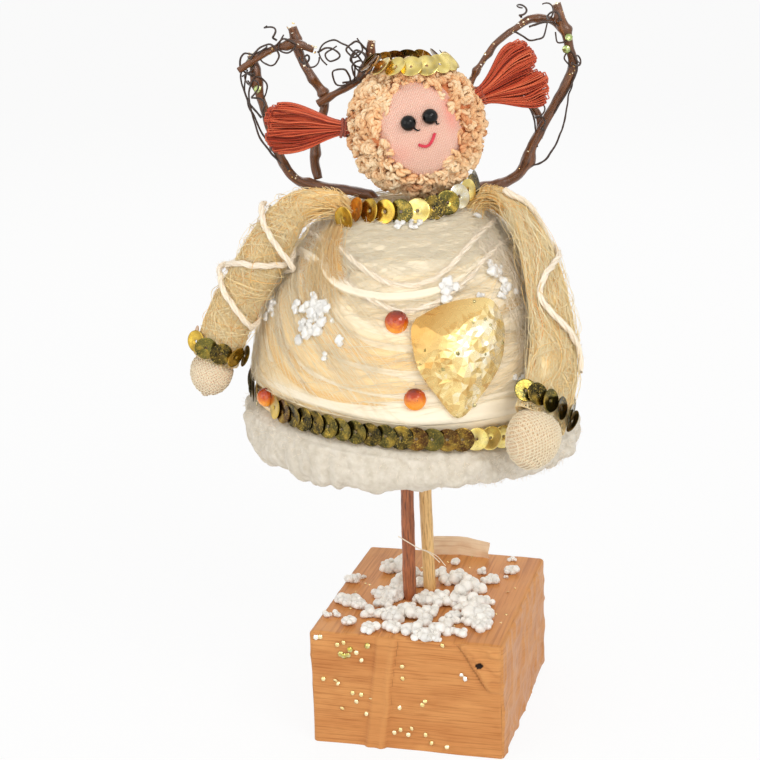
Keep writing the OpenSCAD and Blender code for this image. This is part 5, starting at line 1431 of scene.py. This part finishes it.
for ply in (0, np.pi):
    a = ply + 2 * np.pi * tt[None] * (1.3 + 0.7 * loop[:, None])
    Q = P + 0.4 * thick[..., None] * (np.cos(a)[..., None] * U + np.sin(a)[..., None] * W)
    add_tubes(curls, Q, 0.5 * thick * lumpy, 6, tone)
make("hair_curl_loops", curls, MAT["hair"], hides=["hair_hood", "hair_curls"])

face = Shape()
rad = np.concatenate([np.linspace(0.0, 0.9, 34), np.linspace(0.92, 1.1, 10)])[:, None]
a = np.linspace(0, 2 * np.pi, 121)[:-1][None]
x = rad * 10.6 * np.cos(a)
z = 1.5 + rad * 12.9 * np.sin(a)
tuck = 1.6 * ease((rad - 0.84) / 0.26)


def mound(x0, z0, wide, high):
    """A soft mound over the face's x and z."""
    return np.exp(-(((x - x0) / wide) ** 2 + ((z - z0) / high) ** 2))


puff = 0.35 * mound(5.5, -4, 4, 4) + 0.35 * mound(-5.5, -4, 4, 4)
eye_z = FACE_R * sind(EYE_UP)
dimple = sum(0.35 * mound(FACE_R * sind(s) * cosd(EYE_UP), eye_z, 2.6, 2.6) for s in (-EYE_SIDE, EYE_SIDE))
q = table(x, 0.0, z)
radius = FACE_R - 0.1 + puff - dimple + 0.12 * noise(q, 3.5, 195) - tuck
y = -np.sqrt(np.maximum(radius**2 - x**2 - z**2, 4))
blush = 0.5 + 0.5 * mound(8.8, 3.5, 1.8, 4.5) + 0.22 * mound(-7.5, -3, 3, 3) + 0 * z
face.add(turned(table(x, y, z)) + HEAD_C, grid_faces(len(rad), 120, close=True), blush.reshape(-1),
         table(x, z, 0.0).reshape(-1, 3))
face = make("face_knit", face, MAT["face"], hides=["face_cloth", "head_ball"])

mouth = Shape()
t = np.linspace(0, 1, 31)
mouth_path = turned(face_dir(-6 + 15 * t, -4 - 4 * np.sin(np.pi * t) + 5 * t * t) * (FACE_R + 0.5)) + HEAD_C
P, R = plied(mouth_path, 0.9, 3, 2.0, 0.14)
add_tubes(mouth, P, R * 0.9, 6, 0.5)
make("mouth_stitch", mouth, MAT["mouth"], hides=["mouth_thread"])

tails = Shape()
for side, way in ((-EYE_SIDE, 1.0), (EYE_SIDE, 0.7)):
    steps = ((3.5, 5.0, 0.03), (5.0 * way, 7.0, 0.022), (6.6 * way, 7.8, 0.018), (8.2 * way, 7.4, 0.02))
    q = turned([FACE_R * face_dir(side + dx, EYE_UP - dy) * (1 + lift) for dx, dy, lift in steps]) + HEAD_C
    add_tubes(tails, [smooth(q, 5)], np.linspace(0.3, 0.12, 16)[None], 5, 0.3)
make("eye_thread_tails", tails, MAT["bead"])

haze = Shape()
r = rng(197)
w = unit(r.normal(size=(1500, 3)))
w = turned(w[~in_face(w, 1.0)])
add_hairs(haze, w * 18.6 + HEAD_C, w, 0.9, (0.8, 2.0), 0.85, r)
make("hair_fuzz", haze, MAT["hair"])

# Pigtails: looped threads that fan out from a tied root

DEEP_WAY = np.array([0.0, 1.0, 0.0])


def pig_axes(turn):
    return np.array([sind(turn), 0, cosd(turn)]), np.array([-cosd(turn), 0, sind(turn)])


def pigtail(name, hidden, turn, length, fan, lobes, seed):
    """Threads of a length that go out and come back; fan is the half width, lobes the depth of the notch."""
    axis, up = pig_axes(turn)
    r = rng(seed)
    count = 230
    lane = r.uniform(-1, 1, count)
    layer = r.uniform(-1, 1, count) * np.sqrt(np.maximum(1 - lane**2 * 0.8, 0.1))
    notch = lobes * bell((lane - 0.05) / 0.2)
    far = length * (0.7 + 0.3 * np.sqrt(1 - 0.9 * lane**2) + r.uniform(-0.05, 0.03, count) - notch)
    t = np.linspace(0, 1, 34)
    s = np.sin(np.clip(np.minimum(t * 2, 2 - t * 2), 0, 1) * np.pi / 2) ** 1.15
    x = 0.4 + far[:, None] * s[None]
    open_ = 0.24 + 0.76 * ease((x - 1.2) / (length * 0.72))
    half = np.where(t < 0.5, -1, 1)[None] * ease(np.minimum(t, 1 - t) / 0.45)
    half = half * r.uniform(0.15, 0.6, count)[:, None]
    half = half * np.cos(np.pi * (t - 0.5))[None] ** 0.6
    y1 = (lane * fan)[:, None] * open_ + half * 1.2
    y2 = (layer * (2.4 + 0.22 * fan))[:, None] * (0.45 + 0.55 * open_)
    y1, y2 = (y + 0.45 * noise(table(x / 6, lane[:, None] * 9, 20.0 * k), 1.0, seed + k) * open_
              for k, y in enumerate((y1, y2)))
    P = HEAD_C + axis * (17.9 + x)[..., None] + up * y1[..., None] + DEEP_WAY * y2[..., None]
    shape = Shape()
    add_tubes(shape, P, r.uniform(0.13, 0.2, count)[:, None], 4, np.clip(r.normal(0.5, 0.22, count), 0, 1))
    make(name, shape, MAT["thread"], hides=[hidden])


def pig_tie(name, hidden, turn, seed):
    axis, up = pig_axes(turn)
    t = np.linspace(0, 3.2, 130)
    wrap = 2.3 + 0.2 * np.sin(t * 2.3 + seed)
    path = (HEAD_C + axis * (19.6 + 0.5 * t + 0.25 * np.sin(t * 9))[:, None]
            + up * (wrap * np.cos(2 * np.pi * t))[:, None] + DEEP_WAY * (wrap * np.sin(2 * np.pi * t))[:, None])
    shape = Shape()
    P, R = plied(path, 0.9, 2, 2.2, 0.3)
    add_tubes(shape, P, R, 5, 0.5)
    make(name, shape, MAT["tie"], hides=[hidden])


pigtail("pigtail_threads_right", "pigtail_right", -88, 24.5, 7.0, 0.07, 401)
pigtail("pigtail_threads_left", "pigtail_left", 66, 21, 9.6, 0.22, 411)
pig_tie("pigtail_wrap_right", "pigtail_tie_right", -88, 1)
pig_tie("pigtail_wrap_left", "pigtail_tie_left", 66, 2)

# Wings: bent twigs, curled tendrils and glitter

TWIG_R, TWIG_SIDES = 1.6, 16


def wing(points):
    """Points given from the wings' foot, behind the neck."""
    return np.array(points, float) + [0, WING_Y, TOP_Z]


def twig(shape, path, r0, r1, seed):
    """A twig from radius r0 to r1, with two knots near its tip and others along it."""
    p = resample(path, 0.55)
    r = rng(seed)
    from_ends = np.minimum(along(p), along(p)[-1] - along(p))
    p = p + 0.22 * wobble(p, 5, seed, 40) * ease(from_ends / 4)[:, None]
    s = along(p)
    a = ring_of(TWIG_SIDES)
    radius = (r0 + (r1 - r0) * s / s[-1])[:, None]
    q = table(np.cos(a), np.sin(a), s[:, None] * 0.3)
    radius = radius * (1 + 0.16 * noise(q, 0.9, seed) + 0.09 * noise(q * [2, 2, 1], 0.7, seed + 5))
    tip = along(path)[-1]
    for k in [tip - 4, tip - 8, *r.uniform(6, max(s[-1] - 5, 7), int(s[-1] / 13))]:
        way = r.uniform(0, 2 * np.pi)
        knot = r.uniform(0.25, 0.7) * r0 * np.exp(-((s - k) / r.uniform(0.9, 1.8))[:, None] ** 2)
        radius = radius + knot * (0.6 + 0.6 * np.cos(a - way))
    add_rod(shape, p, radius, TWIG_SIDES)


ROOTS = {"right": [(-3, 7.5, 149.51), (-10, 12, 158.71)], "left": [(4, 7.5, 149.51), (11, 12, 158.71)]}


def bent(points):
    return smooth(wing(points), 6)


def rooted(side, points):
    """A bent path that starts in the body."""
    return np.concatenate([[ROOTS[side][0]], smooth(np.concatenate([[ROOTS[side][1]], wing(points)]), 6)])


# Twigs: CAD node, path, and the shares of the radius at foot and tip
TWIGS = [
    ("right_wing_outer", rooted("right", [
        (-22, -2, 2.5), (-31, 0, 4.5), (-36, 0, 11), (-40, 0, 25), (-42, 0, 34), (-43, 0, 42)]), 1.0, 0.8),
    ("right_wing_inner", bent([
        (-25.5, 1.8, 4.5), (-26.5, 2.6, 11), (-24, 2.8, 21), (-22.5, 2.8, 28.5), (-26, 2.6, 35), (-29, 2.6, 41),
        (-31, 2.6, 49.5)]), 0.85, 0.85),
    ("right_wing_top", bent([
        (-47, -2.4, 38), (-42, -2.4, 41), (-36, -0.4, 44), (-30, -0.3, 44.5), (-25, 0, 43)]), 0.62, 0.7),
    ("right_wing_side", bent([
        (-24.5, 0.4, 27), (-18, 0.2, 30.5), (-12, 0, 34), (-9, 0, 39), (-8, 0, 45)]), 0.7, 0.7),
    ("left_wing_outer", rooted("left", [
        (23, -2, 0.8), (30, 0, 1.5), (35, 0, 5), (41, 0, 17), (48, 0, 29), (50.5, 0, 36), (48.5, 0, 46),
        (46, 0, 53.5)]), 1.0, 0.85),
    ("left_wing_top", bent([
        (50, 2.8, 43.5), (45, 2.7, 48.5), (38, 2.2, 49), (28, 1, 42), (22, 0.4, 34),
        (18, 0.2, 28)]), 0.72, 0.5),
    ("left_wing_inner", bent([
        (41, 2.9, 14), (41, 2.8, 20), (37, 2.8, 25), (29, 2.9, 27), (21, 3, 29), (14, 3.4, 30)]), 0.72, 0.5)]
for i, (name, path, a, c) in enumerate(TWIGS):
    shape = Shape()
    twig(shape, path, TWIG_R * a, TWIG_R * c, 420 + 9 * i)
    make(name + "_bark", shape, MAT["twig"], hides=[name])


def tendril(foot, axis, reach, open_, turns):
    """A coil from its foot along an axis that opens to a radius as it goes."""
    axis = unit(np.array(axis, float))
    n = unit(np.array([0.2, 1, 0.3]) - axis * np.dot([0.2, 1, 0.3], axis))
    m = np.cross(axis, n)
    s = np.linspace(0, 1, 60)
    a = 2 * np.pi * turns * s
    rad = open_ * (0.15 + 0.85 * s)
    return (wing([foot])[0] + axis * (reach * s)[:, None] + n * (rad * np.cos(a) - open_ * 0.15)[:, None]
            + m * (rad * np.sin(a))[:, None])


TENDRILS = {
    "right": [((-39.2, -2.2, 24), (-0.4, -0.3, 1), 12, 2.2, 2),
              ((-42.5, -2, 37.5), (-0.6, -0.6, -0.5), 5, 2, 1.5),
              ((-29.2, 0.8, 40.5), (0.6, -0.9, 0), 8, 2.2, 2),
              ((-35.5, -0.2, 46), (-0.4, -0.3, 1), 6, 1.8, 1.5)],
    "left": [((42, -2.2, 17), (-0.3, -0.5, 1), 9, 2.2, 2), ((50.4, -2, 36), (0.5, -0.5, 0.4), 4, 2, 1.5),
             ((47.4, -1.8, 49), (-0.6, -0.5, 0.4), 8, 2.4, 2), ((36, 1.2, 49.8), (0.1, -0.6, 1), 5, 2, 1.5),
             ((37.5, 0.9, 25), (-0.8, -0.5, 0.4), 6, 2, 1.5)]}
VINES = {
    "right": [[(-41, -1.2, 24), (-45, -0.5, 29), (-46.5, -0.6, 36), (-43.5, -1.4, 41.5), (-38, -1.6, 44)],
              [(-34, -1, 8), (-39.5, -0.8, 16), (-43.4, -0.6, 24), (-45.6, 0, 31), (-44.6, 0.4, 38)],
              [(-36, -1.2, 10), (-42, -1.4, 18), (-44.5, -1.6, 30), (-42, -1.8, 36), (-39, -1.4, 33),
               (-41, -1, 28)],
              [(-45, -2.5, 38), (-42, -3.4, 43), (-38, -3, 45.5), (-35, -2.4, 42), (-38, -2, 39),
               (-41, -2.4, 42), (-38.5, -3, 45)],
              [(-21, 1.2, 29), (-14, 1, 31.5), (-10, 1, 36), (-12.5, 0.4, 41), (-19, 0, 45.5),
               (-23.5, 0, 42), (-21, 0, 38.5)],
              [(-20, -0.4, 30), (-15, -1.2, 33), (-16, -1.8, 37), (-19.5, -1.4, 36.5), (-18.5, -1, 32.5),
               (-14, -1.4, 33.5), (-13, -1.6, 38)],
              [(-12, -0.6, 36), (-9.5, -1.2, 40), (-12.5, -1.4, 42.5), (-14.5, -1, 39.5), (-11, -1, 37.5),
               (-8, -0.8, 41)],
              [(-17, -0.4, 33), (-12, -1.4, 34.5), (-9, -2, 38.5), (-11, -2.2, 42), (-14, -1.8, 40),
               (-12, -1.4, 36.5), (-8, -1.2, 36)],
              [(-14, -1, 33), (-10, -2.4, 36), (-11, -2.8, 39.5), (-14, -2.4, 38), (-13, -2, 34.6),
               (-9.6, -1.6, 33.8), (-7.6, -1.4, 38)],
              [(-9, -1, 42), (-12, -1.8, 45), (-15.5, -1.6, 43), (-13.5, -1.4, 40.4), (-10.5, -1.6, 42.5),
               (-12, -1.2, 46)],
              [(-43, -1.2, 36), (-46.4, -2, 39), (-45, -2.6, 43), (-41.5, -2.4, 41.6), (-43, -2, 38.2),
               (-46, -1.6, 36.4)],
              [(-36, -1, 44.5), (-33, -2, 46.6), (-30, -1.8, 44.6), (-32.4, -1.4, 42.4), (-35, -1.6, 44),
               (-33.4, -1.2, 47.6)],
              [(-24, 0.6, 42), (-20, -0.6, 43.5), (-17.5, -0.8, 41), (-20, -0.8, 39.4), (-21.6, -0.8, 41.6),
               (-18, -0.6, 44)]],
    "left": [[(36, -1, 6), (42.5, -1.2, 8.5), (47, -1, 16), (49.2, -1, 26), (51.2, -1, 33)],
             [(33, 1.6, 46.5), (38, -0.4, 43.5), (42, -0.6, 44), (43.5, 0, 48)],
             [(45, -1.6, 22), (49.5, -1.6, 29), (52, -1.2, 35), (50, -1.6, 40), (48, -2, 38), (50, -2, 35)],
             [(38, 0.4, 47), (43, -0.8, 48.5), (47.5, -1.4, 46.5), (49, -1.6, 43), (46, -1.6, 42.5),
              (45.5, -1.4, 45.5)],
             [(34.5, 0, 26), (38, -0.8, 23.5), (39.5, -0.8, 18), (40, -0.6, 12)]]}
for side in ("right", "left"):
    shape = Shape()
    for q in TENDRILS[side]:
        p = resample(tendril(*q), 0.3)
        add_tubes(shape, [p], (np.linspace(0.36, 0.22, len(p)) * (1 + 0.12 * noise(p, 0.9, 470)))[None], 7, 0.5)
    for i, q in enumerate(VINES[side]):
        p = resample(smooth(wing(q), 10), 0.4)
        p = p + 0.3 * np.stack([noise(p + 17 * k, 2.4, 480 + i) for k in range(3)], 1)
        add_tubes(shape, [p], (np.linspace(0.34, 0.24, len(p)) * (1 + 0.15 * noise(p, 0.9, 471)))[None], 7, 0.5)
    make(side + "_wing_curls", shape, MAT["tendril"], hides=[side + "_wing_tendrils"])

flakes = Shape()
r = rng(490)
for i in range(190):
    _, path, a, c = TWIGS[r.integers(0, len(TWIGS))]
    k = int(np.clip(r.choice([0.45, 0.72, 0.95]) * len(path) + r.normal(0, 2.0), len(path) // 4, len(path) - 1))
    n = unit(r.normal(size=3) + [0, -1.0, 0.4])
    size = TWIG_R * (a + (c - a) * k / len(path))
    add_flake(flakes, path[k] + n * size * 1.02, n, r.uniform(0.22, 0.5), 6,
              lin(*((252, 238, 204), (224, 178, 92), (190, 140, 66), (250, 246, 236))[i % 4]), 500 + i)
for i, q in enumerate([(-41.9, -2.2, 32.5), (48.6, -2, 40.5), (-43.6, -2, 40), (49.4, -2.2, 44)]):
    add_flake(flakes, wing([q])[0], unit(np.array([0, -1, 0.2])), 1.25, 7, lin(150, 170, 92), 570 + i)
make("wing_flakes", flakes, MAT["glitter"])

# Arms: fibre pads round the wires, with yarn, cuffs and hands

# The wires' paths: az, b and distance from the dome
RIGHT_PATH = [(-63, 67, 5.5), (-71, 59, 10.5), (-72.5, 51, 10.5), (-73.5, 41, 9.6), (-75.5, 31.5, 10),
              (-77, 22.3, 11.4), (-78.2, 14.6, 12.4)]
LEFT_PATH = [(80, 65, 6.2), (78, 60, 8), (72, 52, 7.6), (63, 42, 7.4), (54.5, 30, 7.6), (48.5, 20, 8.6),
             (41.5, 11.5, 10.8), (35.5, 6, 12.4)]


class Arm:
    """An arm's path and frames, as in the CAD model: u runs across the pad and v out of it."""

    def __init__(self, points, face, w, t):
        q = np.array(points, float)
        p = smooth(dome_pt(q[:, 0], q[:, 1], q[:, 2]), 12)
        tangent = np.empty_like(p)
        tangent[1:-1] = p[2:] - p[:-2]
        tangent[0], tangent[-1] = p[1] - p[0], p[-1] - p[-2]
        self.p, self.t = p, unit(tangent)
        v = face(p)
        self.v = unit(v - self.t * np.sum(v * self.t, axis=1, keepdims=True))
        self.u = np.cross(self.v, self.t)
        self.w, self.thick = w, t
        self.end = self.t[-1]

    def at(self, s):
        x = np.clip(s, 0, 1) * (len(self.p) - 1)
        i = np.minimum(x.astype(int), len(self.p) - 2)
        k = (x - i)[..., None]
        return [a[i] * (1 - k) + a[i + 1] * k for a in (self.p, self.u, self.v)]

    def on(self, s, a, off):
        """Points on the pad at share s of its length and angle a in degrees, off millimetres proud of it."""
        s, a, off = np.broadcast_arrays(np.asarray(s, float), np.asarray(a, float), np.asarray(off, float))
        p, u, v = self.at(s)
        k = 0.42 + 0.5 * ease(2 * s) + 0.08 * s
        n = unit(u * (cosd(a) / self.w)[..., None] + v * (sind(a) / self.thick)[..., None])
        beyond = np.maximum(s - 1, 0)[..., None] * along(self.p)[-1] * self.end
        before = np.minimum(s, 0)[..., None] * along(self.p)[-1] * self.t[0]
        return (p + beyond + before + u * (self.w * k * cosd(a))[..., None]
                + v * (self.thick * k * sind(a))[..., None] + n * off[..., None])


right = Arm(RIGHT_PATH, lambda p: np.broadcast_to([-0.25, -1.0, 0.0], p.shape), 6.6, 5.2)
left = Arm(LEFT_PATH, lambda p: unit(p * [1, 1, 0]) + [0, 0, 0.35], 8.25, 4.0)


def arm_mat(name, arm, mat, body, hidden, seed, tone):
    """The matted pad under an arm's loose fibres."""
    s = np.linspace(0, 1, 90)[:, None]
    a = np.linspace(0, 360, 49)[:-1][None]
    q = table(s * 12, cosd(a) * 1.2, sind(a) * 1.2)
    off = -0.55 + 0.45 * noise(q, 1.0, seed) + 0.3 * noise(q * [0.4, 4, 4], 1.0, seed + 1)
    shape = Shape()
    flat = table(a / 360 * 34, s * 58, 0.0).reshape(-1, 3)
    tint = tone + 0.3 * noise(q * [1.5, 2, 2], 1.0, seed + 2)
    shape.add(arm.on(s, a, off), grid_faces(90, 48, close=True)[:, ::-1], tint.reshape(-1), flat)
    ob = make(name, shape, MAT[mat], body=body, hides=[hidden])


def arm_fibres(name, arm, mat, body, count, seed, wander, aligned, tone):
    """Loose fibres matted over a pad; aligned is the share that runs nearly straight along it."""
    r = rng(seed)
    n = 16
    t = np.linspace(0, 1, n)[None]
    straight = (r.uniform(size=count) < aligned)[:, None]
    s0 = r.uniform(0.05, 0.95, count)[:, None]
    span = np.where(straight, r.uniform(0.2, 0.55, count)[:, None], r.uniform(0.06, 0.25, count)[:, None])
    s = np.clip(s0 + span * (t - 0.3), 0.03, 1.02)
    a0 = r.uniform(0, 360, count)[:, None]
    turn = np.where(straight, r.normal(0, 25, count)[:, None], r.normal(0, wander, count)[:, None])
    q = table(t * 2.4 + r.uniform(0, 99, count)[:, None], np.arange(count)[:, None] * 2.3, 0.0)
    a = a0 + turn * t + 36 * noise(q, 0.8, seed)
    fly = (r.uniform(size=count) < 0.07)[:, None] * r.uniform(0.5, 2.4, count)[:, None] * np.sin(np.pi * t)
    free = ease((s - 0.04) / 0.22)
    loose = ease((0.95 - s) / 0.16)
    stray = 0.3 * noise(q, 0.7, seed + 1) + fly
    off = -0.3 - 0.35 * (1 - free) + free * (r.uniform(0, 0.55, count)[:, None] + stray * loose)
    R = 0.075 * r.uniform(0.5, 1.5, count)[:, None] * (0.4 + 0.6 * np.sin(np.pi * np.clip(t, 0.02, 0.98)))
    shape = Shape()
    add_tubes(shape, arm.on(s, a, off), R, 3, np.clip(r.normal(tone, 0.36, count), 0, 1))
    make(name, shape, MAT[mat], body=body)


arm_mat("right_arm_pad", right, "sisal_right", "right_arm", "right_arm_sisal", 601, 0.64)
arm_mat("left_arm_pad", left, "sisal_left", "left_arm", "left_arm_sisal", 611, 0.68)
arm_fibres("right_arm_fibres", right, "sisal_right", "right_arm", 2600, 621, 170, 0.22, 0.8)
arm_fibres("left_arm_fibres", left, "sisal_left", "left_arm", 2600, 631, 130, 0.4, 0.86)


def arm_yarn(name, path, body, hidden, seed):
    shape = Shape()
    P, R = plied(path, YARN_D, 3, 14.0, 0.5, 0.28, seed)
    add_tubes(shape, P, R, 7, 0.6)
    add_tubes(shape, fuzz(path, YARN_D, 5.0, 0.9, seed + 1), 0.04, 3, 0.8)
    make(name, shape, MAT["yarn"], body=body, hides=[hidden])


x = np.linspace(0, 1, 120)
YARN_OFF = YARN_D / 2 + 0.35
over = (YARN_D + 0.55) * cosd(540 * x) ** 6 * ease((x - 0.12) / 0.12)
down = right.on(0.3 + 0.48 * x, 200 + 540 * x, YARN_OFF)
back = right.on(0.78 - 0.48 * x, 200 + 540 * (1 + x), YARN_OFF + over)
arm_yarn("right_arm_yarn_wound", np.concatenate([down, back[1:]]), "right_arm", "right_arm_yarn", 641)
zigzag = left.on(0.16 + 0.62 * x, 90 + 62 * cosd(540 * x), YARN_OFF)
arm_yarn("left_arm_yarn_laid", zigzag, "left_arm", "left_arm_yarn", 651)


def cuff(name, arm, first, colours, body, hidden, seed):
    """Sequins over the wrist, from the angle first to the same angle on the far side."""
    p, u, v = arm.p[-1], arm.u[-1], arm.v[-1]
    shape = Shape()
    for i, colour in enumerate(colours):
        a = first + i * (180 - 2 * first) / (len(colours) - 1)
        n = unit(u * cosd(a) / arm.w + v * sind(a) / arm.thick)
        c = p - arm.end * 2.8 + u * arm.w * cosd(a) + v * arm.thick * sind(a) + n * 1.2
        strung(shape, c, n, np.cross(arm.end, n), 22.0, colour, seed + i)
    make(name, shape, MAT["sequin"], body=body, hides=[hidden])


RIGHT_CUFF, LEFT_CUFF = [OLIVE, GOLD, DARK, OLIVE * 1.5, GOLD, AMBER], [DARK, OLIVE] * 3
cuff("right_cuff_string", right, 0, RIGHT_CUFF, "right_arm", "right_cuff_sequins", 660)
cuff("left_cuff_string", left, 20, LEFT_CUFF, "left_arm", "left_cuff_sequins", 670)


HAND_SEGS, THREAD_R = 96, 0.17


def hand(name, arm, radius, mat, body, hidden, seed, mesh, drawn, nub):
    """A padded ball tied at the wrist, with gathers that fade away from it, under a net of threads mesh apart.

    drawn stretches the far half, and nub raises its tip."""
    d = arm.end
    c = arm.p[-1] + d * (radius - 1.15)
    m = axes(arm.u[-1], -d)

    def skin(q, lift):
        """Points of the hand in the directions q, lift millimetres proud of it."""
        th, ph = np.arccos(np.clip(q[..., 2], -1, 1)), np.arctan2(q[..., 1], q[..., 0])
        fold = bell((th - 0.35) / 0.45)
        rad = 1 + 0.035 * noise(q, 0.7, seed) - 0.06 * fold
        rad = rad + 0.045 * fold * np.sin(11 * ph + 2 * noise(q, 0.5, seed + 1))
        rad = rad * (1 + 0.03 * np.sin(th) * np.cos(2 * ph + seed))
        rad = rad * (1 + nub * bell((th - np.pi) / 0.22))
        p = q * (radius * rad + lift)[..., None] * [0.97, 0.97, 1.0]
        p[..., 2] *= np.where(p[..., 2] < 0, drawn, 1.0)
        p[..., 2] = np.minimum(p[..., 2], radius - 1.0 + lift)
        return p @ m.T + c

    th = np.concatenate([np.linspace(0.02, 0.9, 26), np.linspace(0.94, 3.13, 52)])[:, None]
    ph = np.linspace(0, 2 * np.pi, HAND_SEGS + 1)[:-1][None]
    q = table(np.sin(th) * np.cos(ph), np.sin(th) * np.sin(ph), np.cos(th))
    flat = table(ph * radius * np.maximum(np.sin(th), 0.45), th * radius, 0.0).reshape(-1, 3)
    tint = 0.5 + 0.35 * bell((th - 0.5) / 0.3) + 0 * ph
    shape = Shape()
    shape.add(skin(q, 0.0), grid_faces(len(th), HAND_SEGS, close=True)[:, ::-1], tint.reshape(-1), flat)
    ob = make(name, shape, MAT[mat], body=body, hides=[hidden])
    strands = []
    for sign in (-1, 1):
        g, h = np.array([sign, 0, 1]) * 0.5**0.5, np.array([-sign, 0, 1]) * 0.5**0.5
        for k, at in enumerate(np.arange(-radius + 0.3, radius - 0.2, mesh)):
            at = at / radius
            ring = np.sqrt(1 - at * at)
            top = (np.cos(0.3) * 2**0.5 - at) / ring
            cut = 0.02 if top > 1 else np.arccos(top)
            a = np.linspace(cut, 2 * np.pi - cut, 110)
            w = at * g + ring * (np.cos(a)[:, None] * h + np.sin(a)[:, None] * [0, 1, 0])
            strands.append(skin(w, 0.05 + 0.09 * np.cos(np.pi * ((w @ h) * radius / mesh + k))))
    shape = Shape()
    add_tubes(shape, np.array(strands), THREAD_R, 5, 0.75)
    make(name + "_net", shape, MAT["net"], body=body)


hand("right_hand_knit", right, 6.4, "hand_right", "right_arm", "right_hand", 681, 0.72, 1.08, 0.14)
hand("left_hand_knit", left, 7.4, "hand_left", "left_arm", "left_hand", 691, 0.78, 1.26, 0.0)


def shoulder_tuft(name, arm, mat, foot, seed):
    """Fibres that bridge the body and the top of an arm."""
    r = rng(seed)
    count = 420
    foot_az, foot_b = foot
    start_az = foot_az + r.normal(0, 5, count)
    start_b = np.minimum(foot_b + r.normal(0, 2.5, count), COLLAR_LOW)
    start = dome_pt(start_az, start_b, 0.6)
    s1 = r.uniform(0.02, 0.3, count)
    end = arm.on(s1, r.uniform(0, 360, count), r.uniform(-0.5, 0.6, count))
    mid = arm.on(0 * s1, r.uniform(0, 360, count), r.uniform(-1.2, 1.6, count))
    t = np.linspace(0, 1, 14)[None, :, None]
    P = start[:, None] * (1 - t) ** 2 + 2 * mid[:, None] * t * (1 - t) + end[:, None] * t**2
    P = P + 0.35 * np.sin(np.pi * t) * r.normal(size=(count, 1, 3))
    shape = Shape()
    add_tubes(shape, P, 0.1 * r.uniform(0.6, 1.3, count)[:, None], 3, np.clip(r.normal(0.5, 0.2, count), 0, 1))
    ob = make(name, shape, MAT[mat], body=None)
    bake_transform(ob)


shoulder_tuft("right_shoulder_tuft", right, "sisal_right", (-52, 66), 701)
shoulder_tuft("left_shoulder_tuft", left, "sisal_left", (72, 66), 711)

# CAD nodes that stay in view get their own materials
IN_VIEW = {
    "block": ["base_block"],
    "core": ["body_core"],
    "peg": ["neck_peg"],
    "amber": ["button_upper", "button_lower", "button_side"],
    "bead": ["eye_right", "eye_left"],
    "wire": ["right_shoulder_wire", "left_shoulder_wire", "right_arm_wire", "left_arm_wire"],
}
for mat, names in IN_VIEW.items():
    for name in names:
        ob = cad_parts[name]
        ob.data.materials.clear()
        ob.data.materials.append(MAT[mat])
